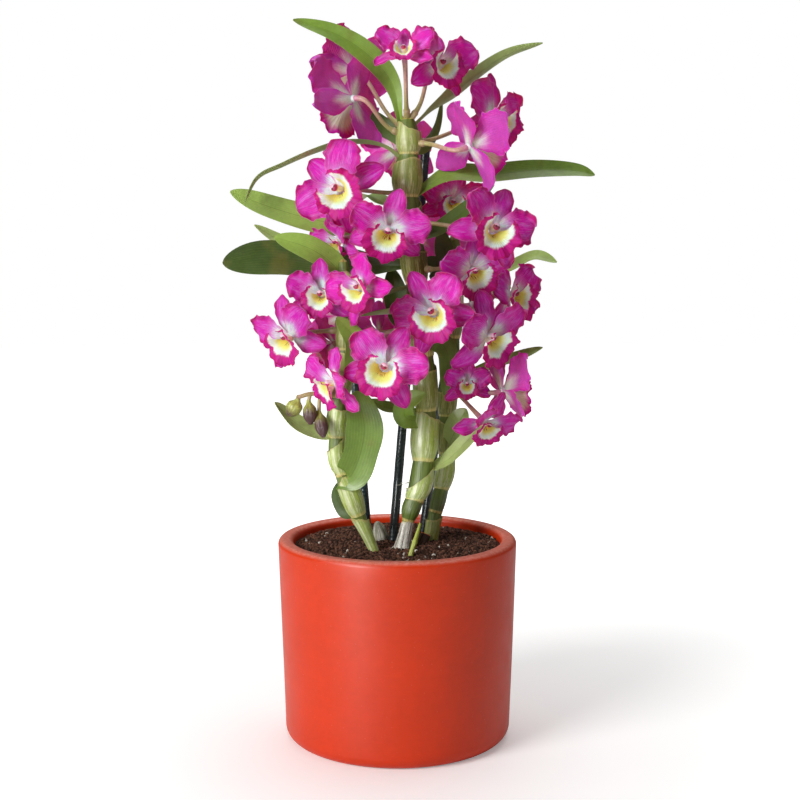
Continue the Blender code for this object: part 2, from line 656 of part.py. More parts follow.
def build_cane(cane):
    heights = cane.heights()
    bm = bmesh.new()
    add_tube(bm, [cane.at(h) for h in heights], [cane.radius(h) for h in heights], CANE_SIDES)
    base = make_object(cane.name, bm, GREEN)
    pieces = []
    for owner, points, half, face, fold in LEAVES:
        if owner != cane.name:
            continue
        bm = bmesh.new()
        add_blade(bm, leaf_rows(points, half, face, fold), BLADE)
        pieces.append(make_object(cane.name + "_leaf", bm, GREEN))
    for flower, row in FLOWERS.items():
        if row[0] != cane.name:
            continue
        foot, end, _ = stub_of(flower)
        bm = bmesh.new()
        add_tube(bm, [foot, end], [STUB_RADIUS * 1.3, STUB_RADIUS], STUB_SIDES)
        pieces.append(make_object(cane.name + "_stub", bm, GREEN))
    if BUD_STALK[0] == cane.name:
        foot, end, _ = bud_stub()
        bm = bmesh.new()
        add_tube(bm, [foot, end], [STUB_RADIUS * 1.3, STUB_RADIUS], STUB_SIDES)
        pieces.append(make_object(cane.name + "_stub", bm, GREEN))
    fused(base, pieces)
    stand_at(base, Matrix.Translation(cane.line[0]))
    rounded_smooth(base)
    return base


def build_pot():
    def arc(x, z, radius, first, last, steps):
        found = []
        for i in range(steps + 1):
            turn = math.radians(first + (last - first) * i / steps)
            found.append((x + radius * math.cos(turn), z + radius * math.sin(turn)))
        return found

    inner_rim = RIM_RADIUS - POT_WALL
    profile = [(0.0, 0.0)]
    profile += arc(FOOT_RADIUS - FOOT_ROUND, FOOT_ROUND, FOOT_ROUND, -90, 0, 3)
    profile += arc(RIM_RADIUS - LIP_ROUND, POT_HEIGHT - LIP_ROUND, LIP_ROUND, 0, 90, 2)
    profile += arc(inner_rim + LIP_ROUND, POT_HEIGHT - LIP_ROUND, LIP_ROUND, 90, 180, 2)
    profile += [(FOOT_RADIUS - POT_WALL, POT_FLOOR), (0.0, POT_FLOOR)]
    bm = bmesh.new()
    verts = [bm.verts.new((x, 0.0, z)) for x, z in profile]
    edges = [bm.edges.new(pair) for pair in zip(verts, verts[1:])]
    bmesh.ops.spin(bm, geom=verts + edges, cent=(0, 0, 0), axis=(0, 0, 1), angle=2 * math.pi,
                   steps=POT_SIDES, use_merge=True)
    bmesh.ops.remove_doubles(bm, verts=bm.verts, dist=0.00001)
    pot = make_object("pot", bm, CLAY)
    rounded_smooth(pot)
    return pot


def inner_radius(z):
    share = (z - POT_FLOOR) / (POT_HEIGHT - LIP_ROUND - POT_FLOOR)
    foot = FOOT_RADIUS - POT_WALL
    return foot + (RIM_RADIUS - POT_WALL - foot) * share


def soil_height(radius, turn):
    """The soil's surface: a low mound with soft lumps."""
    share = radius / inner_radius(SOIL_TOP)
    lumps = math.sin(3 * turn + 9 * share) + math.sin(5 * turn - 14 * share + 1.0)
    return SOIL_TOP + SOIL_MOUND * (1 - share**2) + SOIL_LUMP * lumps * min(share * 2, 1.0) / 2


def build_soil():
    bm = bmesh.new()
    outer = inner_radius(SOIL_TOP) * math.cos(math.pi / POT_SIDES) - SEAT_GAP
    lower = inner_radius(POT_FLOOR) * math.cos(math.pi / POT_SIDES) - SEAT_GAP
    centre = bm.verts.new((0, 0, soil_height(0.0, 0.0)))
    rings = []
    for k in range(1, SOIL_RINGS + 1):
        radius = outer * (k / SOIL_RINGS) ** 0.8
        ring = []
        for i in range(SOIL_SIDES):
            turn = 2 * math.pi * i / SOIL_SIDES
            height = soil_height(radius, turn)
            ring.append(bm.verts.new((radius * math.cos(turn), radius * math.sin(turn), height)))
        rings.append(ring)
    rings.append([bm.verts.new((lower * math.cos(2 * math.pi * i / SOIL_SIDES),
                                lower * math.sin(2 * math.pi * i / SOIL_SIDES),
                                POT_FLOOR + SEAT_GAP)) for i in range(SOIL_SIDES)])
    for i in range(SOIL_SIDES):
        n = (i + 1) % SOIL_SIDES
        bm.faces.new((centre, rings[0][i], rings[0][n]))
        for low, high in zip(rings, rings[1:]):
            bm.faces.new((low[i], high[i], high[n]))
            bm.faces.new((low[i], high[n], low[n]))
    bm.faces.new(rings[-1])
    soil = make_object("soil", bm, SOIL)
    cut(soil, [hole_cutter(*stem) for stem in standing_stems()])
    rounded_smooth(soil)
    return soil


def standing_stems():
    """Every stem that stands in the soil: its foot, a point above the soil, and its radius."""
    found = []
    for cane in CANES.values():
        found.append((cane.line[0], cane.at(132 * MM), cane.radius(118 * MM), CANE_SIDES))
    for ends in STAKES.values():
        low, high = (millimetres(p) for p in ends)
        found.append((low, low.lerp(high, 0.1), STAKE_RADIUS, STAKE_SIDES))
    for points, radii, _ in SHORT_STEMS.values():
        low, high = millimetres(points[0]), millimetres(points[1])
        found.append((low, high, max(radii[:3]) * MM, SHORT_SIDES))
    return found


def hole_cutter(foot, above, radius, sides):
    way = (above - foot).normalized()
    bm = bmesh.new()
    add_tube(bm, [foot - way * SEAT_GAP, above + way * 8 * MM], [radius + 0.9 * MM] * 2, sides)
    return make_object("hole", bm, SOIL)


def build_stake(name, ends):
    low, high = (millimetres(p) for p in ends)
    way = (high - low).normalized()
    bm = bmesh.new()
    line = [low, high - way * MM, high]
    add_tube(bm, line, [STAKE_RADIUS, STAKE_RADIUS, STAKE_RADIUS - 0.9 * MM], STAKE_SIDES)
    stake = make_object(name, bm, STAKE)
    stand_at(stake, Matrix.Translation(low))
    rounded_smooth(stake)
    return stake


def build_short_stem(name):
    points, radii, finish = SHORT_STEMS[name]
    bm = bmesh.new()
    add_tube(bm, [millimetres(p) for p in points], [r * MM for r in radii], SHORT_SIDES)
    stem = make_object(name, bm, finish)
    stand_at(stem, Matrix.Translation(millimetres(points[0])))
    rounded_smooth(stem)
    return stem


def bud_stub():
    """Where the bud stalk meets its cane: the foot and end of the stub, and its direction."""
    cane, height, points = BUD_STALK
    foot = CANES[cane].at(height * MM)
    way = (millimetres(points[0]) - foot).normalized()
    return foot, foot + way * (CANES[cane].radius(height * MM) + STUB_REACH), way


def build_buds():
    _, end, way = bud_stub()
    line = [end + way * SEAT_GAP] + [millimetres(p) for p in BUD_STALK[2][1:]]
    bm = bmesh.new()
    add_tube(bm, line, [PEDICEL_RADIUS * 1.2] * len(line), SHORT_SIDES)
    stalk = make_object("bud_spray", bm, BUD)
    pieces = []
    joints = [line[2], line[1], line[0].lerp(line[1], 0.5)]
    for (centre, way, length, radius), joint in zip(BUDS, joints):
        middle, way = millimetres(centre), Vector(way).normalized() * length * MM
        shares = ((-0.5, 0.35), (-0.2, 0.95), (0.15, 1.0), (0.42, 0.55), (0.5, 0.2))
        bm = bmesh.new()
        add_tube(bm, [joint] + [middle + way * along for along, _ in shares],
                 [PEDICEL_RADIUS] + [radius * MM * wide for _, wide in shares], SHORT_SIDES)
        pieces.append(make_object("bud", bm, BUD))
    fused(stalk, pieces)
    stand_at(stalk, Matrix.Translation(line[0]))
    rounded_smooth(stalk)
    return stalk


build_pot()
build_soil()
build_buds()
for short_name in SHORT_STEMS:
    build_short_stem(short_name)
for stake_name, stake_ends in STAKES.items():
    build_stake(stake_name, stake_ends)
for one_cane in CANES.values():
    build_cane(one_cane)
for flower_name in FLOWERS:
    build_flower(flower_name)
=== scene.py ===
# Noble-type dendrobium orchid in a plain coral pot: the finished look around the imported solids.
# Shapes are worked out in millimetres and become metres as each piece is finished; materials and
# geometry trees count in metres.
import math
import random

import bpy
import bmesh
import numpy as np
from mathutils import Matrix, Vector


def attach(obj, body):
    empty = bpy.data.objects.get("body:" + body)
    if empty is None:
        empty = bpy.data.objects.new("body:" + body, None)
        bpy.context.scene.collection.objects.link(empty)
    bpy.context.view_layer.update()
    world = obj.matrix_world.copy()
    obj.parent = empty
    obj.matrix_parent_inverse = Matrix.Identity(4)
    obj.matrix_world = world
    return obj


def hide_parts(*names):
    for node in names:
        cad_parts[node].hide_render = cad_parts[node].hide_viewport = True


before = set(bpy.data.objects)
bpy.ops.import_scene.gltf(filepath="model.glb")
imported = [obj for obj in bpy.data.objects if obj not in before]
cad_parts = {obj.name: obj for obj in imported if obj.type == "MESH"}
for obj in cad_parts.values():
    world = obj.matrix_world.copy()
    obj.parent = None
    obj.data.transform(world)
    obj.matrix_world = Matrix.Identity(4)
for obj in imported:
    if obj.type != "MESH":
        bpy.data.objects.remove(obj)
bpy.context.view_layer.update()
print("frame loaded:", len(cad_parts), "solids")

bpy.context.scene.view_settings.view_transform = "Standard"  # colours as they are mixed


# Gathering points into finished pieces.

def tint(red, green, blue):
    # a colour as read on screen, 0 to 255, in the linear numbers that shaders use
    shares = [c / 255 for c in (red, green, blue)]
    return tuple(s / 12.92 if s < 0.04 else ((s + 0.055) / 1.055) ** 2.4 for s in shares) + (1.0,)


class Shape:
    # points, faces, and four numbers painted on each point for the materials to read
    paints = ("along", "across", "side", "tone")

    def __init__(self):
        self.points = []
        self.faces = []
        self.finish = []
        self.paint = {name: [] for name in self.paints}

    def add(self, points, **painted):
        first = len(self.points)
        flat = np.reshape(points, (-1, 3))
        self.points += flat.tolist()
        for name in self.paints:
            values = np.broadcast_to(painted.get(name, 0.0), np.shape(points)[:-1])
            self.paint[name] += np.reshape(values, -1).tolist()
        return first + np.arange(len(flat)).reshape(np.shape(points)[:-1])

    def quads(self, a, b, c, d, finish=0):
        made = np.stack([np.ravel(k) for k in (a, b, c, d)], axis=1).tolist()
        self.faces += made
        self.finish += [finish] * len(made)

    def cap(self, ring, finish=0):
        self.faces.append([int(k) for k in ring])
        self.finish.append(finish)

    def wrap(self, rings, finish=0, capped=True):
        # a skin from ring to ring, with its two ends closed
        after = np.roll(rings, -1, axis=1)
        self.quads(rings[:-1], after[:-1], after[1:], rings[1:], finish)
        if capped:
            self.cap(rings[0], finish)
            self.cap(rings[-1], finish)

    def mesh(self, name, finishes=(), sharp=50):
        mesh = bpy.data.meshes.new(name)
        mesh.from_pydata((np.array(self.points) / 1000).tolist(), [], self.faces)
        for finish in finishes:
            mesh.materials.append(finish)
        mesh.polygons.foreach_set("material_index", self.finish)
        for label, values in self.paint.items():
            mesh.attributes.new(label, "FLOAT", "POINT").data.foreach_set("value", values)
        shell = bmesh.new()
        shell.from_mesh(mesh)
        bmesh.ops.recalc_face_normals(shell, faces=shell.faces)
        shell.to_mesh(mesh)
        shell.free()
        mesh.shade_smooth()
        mesh.set_sharp_from_angle(angle=math.radians(sharp))
        return mesh

    def made(self, name, finishes, sharp=50):
        return placed(name, self.mesh(name, finishes, sharp))


def placed(name, mesh):
    piece = bpy.data.objects.new(name, mesh)
    bpy.context.scene.collection.objects.link(piece)
    return piece


def pieceName(node):
    # bloom_top_left becomes bloomTopLeft
    first, *others = node.split("_")
    return first + "".join(word.capitalize() for word in others)


def handOver(piece, slot, *nodes):
    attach(piece, "root")
    if nodes:
        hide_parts(*nodes)


def around(count):
    # angles that go once round
    return np.linspace(0, 2 * math.pi, count, endpoint=False)


def unit(vectors):
    return vectors / np.maximum(np.linalg.norm(vectors, axis=-1, keepdims=True), 1e-9)


def gridEdges(ids):
    # the rim of a grid of points, once round
    return np.concatenate([ids[:, 0], ids[-1, 1:], ids[-2::-1, -1], ids[0, -2:0:-1]])


def addSheet(shape, grid, thick, finish=0, **painted):
    # a thin closed sheet about a grid of points, thinner towards its rim; side 0 is its front
    rim = 0.55
    rows, columns = grid.shape[:2]
    normal = unit(np.cross(np.gradient(grid, axis=0), np.gradient(grid, axis=1)))
    t = np.abs(np.linspace(-1, 1, columns))[None, :, None]
    s = np.linspace(0, 1, rows)[:, None, None]
    half = thick / 2 * (1 - (1 - rim) * np.maximum(t ** 4, s ** 6))
    front = shape.add(grid + normal * half, side=0.0, **painted)
    back = shape.add(grid - normal * half, side=1.0, **painted)
    for ids in (front, back):
        shape.quads(ids[:-1, :-1], ids[:-1, 1:], ids[1:, 1:], ids[1:, :-1], finish)
    edge, under = gridEdges(front), gridEdges(back)
    shape.quads(edge, np.roll(edge, -1), np.roll(under, -1), under, finish)


def framesAlong(line, side=(0.0, 1.0, 0.0)):
    # two directions square to a path at each of its points, with no twist
    along = unit(np.gradient(line, axis=0))
    side = np.array(side)
    sides = []
    for way in along:
        side = unit(side - way * side.dot(way))
        sides.append(side)
    sides = np.array(sides)
    return sides, np.cross(along, sides)


def addStem(shape, line, radii, turns, finish=0, start=(0.0, 1.0, 0.0), **painted):
    # a round stem; radii is one number a ring, or one for each point of each ring
    sides, others = framesAlong(line, start)
    angle = around(turns)
    radii = np.broadcast_to(np.reshape(radii, (len(line), -1)), (len(line), turns))[..., None]
    spread = sides[:, None] * np.cos(angle)[:, None] + others[:, None] * np.sin(angle)[:, None]
    painted.setdefault("across", np.cos(angle)[None])
    painted.setdefault("side", np.sin(angle)[None])
    shape.wrap(shape.add(line[:, None] + spread * radii, **painted), finish)


def splinePoints(points, steps):
    # points along a smooth curve through the given ones, the same curve as in the solids
    points = np.array(points, float)
    ends = np.vstack([points[0] * 2 - points[1], points, points[-1] * 2 - points[-2]])
    found = []
    for a, b, c, d in zip(ends, ends[1:], ends[2:], ends[3:]):
        for step in range(steps):
            t = step / steps
            found.append(0.5 * (2 * b + (c - a) * t + (2 * a - 5 * b + 4 * c - d) * t**2
                                + (3 * b - a - 3 * c + d) * t**3))
    return np.array(found + [points[-1]])


def sampled(line, places):
    # points of a path at shares of its number of points
    index = np.asarray(places) * (len(line) - 1)
    return np.stack([np.interp(index, np.arange(len(line)), line[:, k]) for k in range(3)], axis=-1)


# Wiring for materials and geometry trees.

class Wiring:
    def __init__(self, tree):
        self.tree = tree

    def put(self, kind, *feeds, out=0, **settings):
        node = self.tree.nodes.new(kind)
        for name, value in settings.items():
            setattr(node, name, value)
        for key, value in feeds:
            self.feed(node.inputs[key], value)
        return node.outputs[out]

    def feed(self, socket, value):
        if isinstance(value, bpy.types.NodeSocket):
            self.tree.links.new(value, socket)
        else:
            socket.default_value = value

    def maths(self, operation, first, second=0.0, third=0.0):
        return self.put("ShaderNodeMath", (0, first), (1, second), (2, third), operation=operation)

    def plus(self, first, second):
        return self.maths("ADD", first, second)

    def minus(self, first, second):
        return self.maths("SUBTRACT", first, second)

    def times(self, first, second):
        return self.maths("MULTIPLY", first, second)

    def timesPlus(self, first, second, third):
        return self.maths("MULTIPLY_ADD", first, second, third)

    def painted(self, name):
        return self.put("ShaderNodeAttribute", out=2, attribute_name=name)

    def allPainted(self):
        return [self.painted(name) for name in Shape.paints]

    def place(self, scale=(1.0, 1.0, 1.0)):
        here = self.put("ShaderNodeTexCoord", out=3)
        return self.put("ShaderNodeMapping", (0, here), (3, scale))

    def vector(self, x, y, z):
        return self.put("ShaderNodeCombineXYZ", (0, x), (1, y), (2, z))

    def noise(self, vector, scale, detail=2.0, roughness=0.5):
        return self.put("ShaderNodeTexNoise", (0, vector), (2, scale), (3, detail), (4, roughness))

    def span(self, value, low, high, start=0.0, end=1.0, ramp="LINEAR"):
        return self.put("ShaderNodeMapRange", (0, value), (1, low), (2, high), (3, start), (4, end),
                        interpolation_type=ramp)

    def ease(self, *numbers):
        return self.span(*numbers, ramp="SMOOTHSTEP")

    def mix(self, share, first, second):
        return self.put("ShaderNodeMix", (0, share), (6, first), (7, second), out=2, data_type="RGBA")

    def group(self, tree, out=0, **inputs):
        feeds = [(name.replace("_", " "), value) for name, value in inputs.items()]
        return self.put("ShaderNodeGroup", *feeds, out=out, node_tree=tree)

    def bump(self, height, strength, depth):
        return self.put("ShaderNodeBump", (0, strength), (1, depth), (3, height))


def newGroup(name, inputs, outputs, family="Shader"):
    # a socket is a name and a kind, and may have a value that it starts with
    tree = bpy.data.node_groups.new(name, family + "NodeTree")
    for direction, sockets in (("INPUT", inputs), ("OUTPUT", outputs)):
        for label, kind, *value in sockets:
            socket = tree.interface.new_socket(label, in_out=direction, socket_type="NodeSocket" + kind)
            if value:
                socket.default_value = value[0]
    entry = tree.nodes.new("NodeGroupInput")
    leave = tree.nodes.new("NodeGroupOutput")
    return tree, Wiring(tree), entry.outputs, leave.inputs


def mottleGroup():
    # soft blotches with finer grain in them, as a number about 1 that a colour is multiplied by
    tree, w, given, result = newGroup(
        "mottle", [("Place", "Vector"), ("Scale", "Float"), ("Amount", "Float")],
        [("Value", "Float"), ("Grain", "Float")])
    broad = w.noise(given["Place"], given["Scale"], 4.0, 0.6)
    finer = w.times(given["Scale"], 7.0)
    grain = w.noise(given["Place"], finer, 2.0, 0.6)
    both = w.timesPlus(grain, 0.35, w.times(broad, 0.65))
    centred = w.times(w.minus(both, 0.5), w.times(given["Amount"], 2.4))
    w.feed(result["Value"], w.plus(centred, 1.0))
    w.feed(result["Grain"], grain)
    return tree


def veinGroup():
    # fine lines that run lengthwise, a little crooked, as a mask from 0 to 1
    tree, w, given, result = newGroup(
        "veins", [("Along", "Float"), ("Across", "Float"), ("Count", "Float"), ("Wander", "Float"),
                  ("Seed", "Float")], [("Mask", "Float")])
    place = w.vector(w.times(given["Across"], 2.5), w.times(given["Along"], 4.0),
                     w.times(given["Seed"], 23.0))
    shift = w.times(w.minus(w.noise(place, 2.0, 3.0), 0.5), given["Wander"])
    turns = w.times(w.plus(given["Across"], shift), given["Count"])
    waves = w.maths("SINE", w.times(turns, math.pi))
    w.feed(result["Mask"], w.maths("POWER", w.span(waves, -1.0, 1.0), 3.0))
    return tree


def streakGroup():
    # stripes up a round stem; Cosine and Sine of the turn keep them whole all the way round
    tree, w, given, result = newGroup(
        "streaks", [("Cosine", "Float"), ("Sine", "Float"), ("Height", "Float"), ("Count", "Float"),
                    ("Stretch", "Float")], [("Mask", "Float")])
    place = w.vector(w.times(given["Cosine"], given["Count"]),
                     w.times(given["Sine"], given["Count"]),
                     w.times(given["Height"], given["Stretch"]))
    w.feed(result["Mask"], w.ease(w.noise(place, 1.0, 3.0, 0.65), 0.40, 0.60))
    return tree


mottle = mottleGroup()
veins = veinGroup()
streaks = streakGroup()


def blotched(w, colour, scale, amount, value=1.0, hue=0.5):
    # a colour with soft blotches in it; hue 0.5 leaves its hue as it is
    patches = w.group(mottle, Place=w.place(), Scale=scale, Amount=amount)
    return w.put("ShaderNodeHueSaturation", (0, hue), (2, w.times(patches, value)), (4, colour))


def grainyGloss(w, into, scale, low, high, detail=2.0):
    # roughness that wanders from low to high
    w.feed(into["Roughness"], w.span(w.noise(w.place(), scale, detail), 0.3, 0.7, low, high))


def streaked(w, count, stretch):
    # stripes up a stem that has the turn painted on it as addStem does
    return w.group(streaks, Cosine=w.painted("across"), Sine=w.painted("side"),
                   Height=w.painted("along"), Count=count, Stretch=stretch)


def newFinish(name, roughness, **constants):
    finish = bpy.data.materials.new(name)
    finish.use_nodes = True
    shader = finish.node_tree.nodes["Principled BSDF"]
    shader.inputs["Roughness"].default_value = roughness
    for label, value in constants.items():
        shader.inputs[label.replace("_", " ")].default_value = value
    return finish, Wiring(finish.node_tree), shader.inputs


# Geometry trees: tubes along paths, and bits strewn on a surface.

def newTree(name, inputs):
    # takes geometry first and gives geometry
    geometry = [("Geometry", "Geometry")]
    return newGroup(name, geometry + inputs, geometry, "Geometry")


def tubeTree():
    # a round tube along each path; the radius at each point is its painted number "thick"
    tree, w, given, result = newTree("tubesAlongPaths", [
        ("Sides", "Int", 12), ("Thickness", "Float", 1.0), ("Material", "Material")])
    path = w.put("GeometryNodeMeshToCurve", (0, given["Geometry"]))
    share = w.put("GeometryNodeSplineParameter")
    path = w.put("GeometryNodeStoreNamedAttribute", (0, path), (2, "along"), (3, share),
                 data_type="FLOAT", domain="POINT")
    ring = w.put("GeometryNodeCurvePrimitiveCircle", (0, given["Sides"]), (4, 1.0))
    thick = w.put("GeometryNodeInputNamedAttribute", (0, "thick"), data_type="FLOAT")
    tube = w.put("GeometryNodeCurveToMesh", (0, path), (1, ring),
                 (2, w.times(thick, given["Thickness"])), (3, True))
    tube = w.put("GeometryNodeSetShadeSmooth", (0, tube))
    tube = w.put("GeometryNodeRealizeInstances", (0, tube))
    w.feed(result["Geometry"], w.put("GeometryNodeSetMaterial", (0, tube), (2, given["Material"])))
    return tree


def bitsTree():
    # small lumps strewn over a surface, each turned, stretched and shaded by chance
    tree, w, given, result = newTree("strewnBits", [
        ("Density", "Float", 1000.0), ("Seed", "Int", 1), ("Smallest", "Float", 0.001),
        ("Largest", "Float", 0.002), ("Stretch", "Vector", (1.0, 1.0, 1.0)), ("Rounding", "Int", 1),
        ("Lumpiness", "Float", 0.3), ("Tilt", "Float", 3.0), ("Material", "Material")])
    spread = tree.nodes.new("GeometryNodeDistributePointsOnFaces")
    w.feed(spread.inputs["Mesh"], given["Geometry"])
    w.feed(spread.inputs["Density"], given["Density"])
    w.feed(spread.inputs["Seed"], given["Seed"])
    ball = w.put("GeometryNodeMeshIcoSphere", (0, 1.0), (1, given["Rounding"]))
    here = w.put("GeometryNodeInputPosition")
    rough = w.put("ShaderNodeTexNoise", (0, here), (2, 1.3), (3, 2.0), out=1)
    shift = w.put("ShaderNodeVectorMath", (0, rough), (1, (0.5, 0.5, 0.5)), operation="SUBTRACT")
    shift = w.put("ShaderNodeVectorMath", (0, shift), (3, given["Lumpiness"]), operation="SCALE")
    lump = w.put("GeometryNodeSetPosition", (0, ball), (3, shift))
    turn = w.put("FunctionNodeRandomValue", (0, (-1.0, -1.0, -3.2)), (1, (1.0, 1.0, 3.2)), (8, 5),
                 data_type="FLOAT_VECTOR")
    tilt = w.vector(given["Tilt"], given["Tilt"], 1.0)
    turn = w.put("ShaderNodeVectorMath", (0, turn), (1, tilt), operation="MULTIPLY")
    size = w.put("FunctionNodeRandomValue", (2, given["Smallest"]), (3, given["Largest"]), (8, 9),
                 out=1, data_type="FLOAT")
    size = w.put("ShaderNodeVectorMath", (0, given["Stretch"]), (3, size), operation="SCALE")
    bits = w.put("GeometryNodeInstanceOnPoints", (0, spread.outputs["Points"]), (2, lump),
                 (5, w.put("FunctionNodeEulerToRotation", (0, turn))), (6, size))
    tone = w.put("FunctionNodeRandomValue", (2, 0.0), (3, 1.0), (8, 3), out=1, data_type="FLOAT")
    bits = w.put("GeometryNodeStoreNamedAttribute", (0, bits), (2, "tone"), (3, tone),
                 data_type="FLOAT", domain="INSTANCE")
    bits = w.put("GeometryNodeRealizeInstances", (0, bits))
    w.feed(result["Geometry"], w.put("GeometryNodeSetMaterial", (0, bits), (2, given["Material"])))
    return tree


def grown(name, seed, tree, values):
    # runs a geometry tree on a mesh and keeps what it makes as a plain mesh
    carrier = placed(name + "Seed", seed)
    modifier = carrier.modifiers.new("grow", "NODES")
    modifier.node_group = tree
    for socket in tree.interface.items_tree:
        if socket.in_out == "INPUT" and socket.name in values:
            modifier[socket.identifier] = values[socket.name]
    bpy.context.view_layer.update()
    graph = bpy.context.evaluated_depsgraph_get()
    mesh = bpy.data.meshes.new_from_object(carrier.evaluated_get(graph))
    bpy.data.objects.remove(carrier)
    return placed(name, mesh)


tubes = tubeTree()
strewn = bitsTree()


def tubesAlong(name, paths, finish, sides):
    # paths: (points in mm, radii in mm, tone) for each tube
    points, edges, thick, tones = [], [], [], []
    for line, radii, tone in paths:
        first = len(points)
        points += (np.array(line) / 1000).tolist()
        edges += [(first + k, first + k + 1) for k in range(len(line) - 1)]
        thick += (np.broadcast_to(radii, len(line)) / 1000).tolist()
        tones += [tone] * len(line)
    mesh = bpy.data.meshes.new(name)
    mesh.from_pydata(points, edges, [])
    for label, values in (("thick", thick), ("tone", tones)):
        mesh.attributes.new(label, "FLOAT", "POINT").data.foreach_set("value", values)
    return grown(name, mesh, tubes, {"Sides": sides, "Material": finish})


# The pot.

potSizes = {"height": 128.5, "rimRadius": 75.5, "footRadius": 71.8, "wall": 9.8, "floor": 11.0,
            "footRound": 8.0, "lipRound": 3.4, "turns": 176, "outOfTrue": 0.16,
            "innermost": 20.0, "flatBase": 45.0, "kinkDepth": 1.8, "kinkHeight": 60.0}
potLook = {"clay": tint(214, 54, 3), "deep": tint(196, 38, 3), "worn": tint(234, 156, 138),
           "throwLines": 0.03, "pits": 0.25, "rimWearAndHighlight": (0.1262, 0.1284)}


def clayFinish():
    finish, w, into = newFinish("coralClay", 0.38, Specular_IOR_Level=0.36)
    here = w.place()
    rings = w.noise(w.place((6.0, 6.0, 620.0)), 1.0, 3.0, 0.6)
    colour = w.mix(w.ease(rings, 0.35, 0.7, 0.0, 0.08), potLook["clay"], potLook["deep"])
    height = w.put("ShaderNodeSeparateXYZ", (0, here), out=2)
    # the rim's flat top is paler: partly wear and chips, partly a painted highlight where the top catches
    # the light
    lip = w.ease(height, *potLook["rimWearAndHighlight"])
    chips = w.ease(w.noise(here, 420.0, 3.0, 0.7), 0.40, 0.62)
    colour = w.mix(w.times(lip, w.timesPlus(chips, 0.35, 0.40)), colour, potLook["worn"])
    pits = w.put("ShaderNodeTexVoronoi", (0, here), (2, 260.0))
    dots = w.ease(pits, 0.10, 0.05)
    colour = w.mix(w.times(dots, 0.18), colour, potLook["worn"])
    w.feed(into["Base Color"], blotched(w, colour, 26.0, 0.16))
    grainyGloss(w, into, 90.0, 0.34, 0.42, 3.0)
    relief = w.timesPlus(rings, potLook["throwLines"], w.times(dots, -potLook["pits"]))
    w.feed(into["Normal"], w.bump(relief, 0.5, 0.0005))
    return finish


def arcPoints(x, z, radius, first, last, steps):
    turn = np.radians(np.linspace(first, last, steps + 1))
    return np.stack([x + radius * np.cos(turn), z + radius * np.sin(turn)], axis=1)


def buildPot():
    sizes = potSizes
    inner = sizes["rimRadius"] - sizes["wall"]
    lip = sizes["height"] - sizes["lipRound"]
    foot = sizes["footRadius"] - sizes["footRound"]
    outside = np.linspace((sizes["footRadius"], sizes["footRound"]), (sizes["rimRadius"], lip), 14)[1:-1]
    profile = np.vstack([
        [(sizes["innermost"], 0.0), (sizes["flatBase"], 0.0)],
        arcPoints(foot, sizes["footRound"], sizes["footRound"], -90, 0, 10), outside,
        arcPoints(sizes["rimRadius"] - sizes["lipRound"], lip, sizes["lipRound"], 0, 90, 9),
        arcPoints(inner + sizes["lipRound"], lip, sizes["lipRound"], 90, 180, 9),
        [(inner - sizes["kinkDepth"], sizes["kinkHeight"]),
         (sizes["footRadius"] - sizes["wall"], sizes["floor"]), (sizes["innermost"], sizes["floor"])]])
    angle = around(sizes["turns"])
    # a hand-finished wall is never quite true
    radius, height = profile[:, :1], profile[:, 1:]
    r = radius + sizes["outOfTrue"] * np.sin(3 * angle + height / 31) * (radius > 60)
    points = np.stack([r * np.cos(angle), r * np.sin(angle), np.broadcast_to(height, r.shape)], axis=-1)
    shape = Shape()
    shape.wrap(shape.add(points))
    handOver(shape.made("coralPot", [clayFinish()], 35), "coral_pot", "pot")


buildPot()
print("pot done")


# The soil.

soilSizes = {"top": 123.0, "mound": 2.2, "lump": 0.7, "fineLump": 0.28, "rings": 46, "turns": 120,
             "wallGap": 0.15, "bedLift": 0.15, "skirt": 0.985, "skirtFoot": 100.0}
soilLook = {"dark": tint(46, 29, 22), "brown": tint(124, 84, 66), "fibre": tint(158, 114, 86),
            "stone": tint(226, 220, 208), "stoneShade": tint(170, 158, 146), "roughness": 0.93}
# strewn on it: how many to the square metre, smallest and largest in metres, and how lumpy,
# stretched and tilted they are
soilBits = {
    "soilCrumbs": {"Density": 330000.0, "Seed": 4, "Smallest": 0.0005, "Largest": 0.0016,
                   "Lumpiness": 0.9, "Stretch": (1.0, 0.8, 0.6)},
    "barkFibres": {"Density": 45000.0, "Seed": 11, "Smallest": 0.0008, "Largest": 0.0028,
                   "Lumpiness": 0.5, "Stretch": (1.0, 0.16, 0.12), "Tilt": 0.5},
    "perlite": {"Density": 3800.0, "Seed": 23, "Smallest": 0.0004, "Largest": 0.0016, "Rounding": 2,
                "Lumpiness": 1.1, "Stretch": (1.0, 0.85, 0.7)},
}


def soilFinish(name, dark, light):
    finish, w, into = newFinish(name, soilLook["roughness"], Specular_IOR_Level=0.25)
    here = w.place()
    grain = w.group(mottle, out=1, Place=here, Scale=160.0, Amount=0.5)
    share = w.timesPlus(w.painted("tone"), 0.6, w.times(grain, 0.5))
    w.feed(into["Base Color"], w.mix(w.ease(share, 0.2, 1.0), dark, light))
    w.feed(into["Normal"], w.bump(w.noise(here, 1500.0, 3.0, 0.7), 0.8, 0.0004))
    return finish


def innerRadius(z):
    sizes = potSizes
    share = (z - sizes["floor"]) / (sizes["height"] - sizes["lipRound"] - sizes["floor"])
    return sizes["footRadius"] - sizes["wall"] + (sizes["rimRadius"] - sizes["footRadius"]) * share


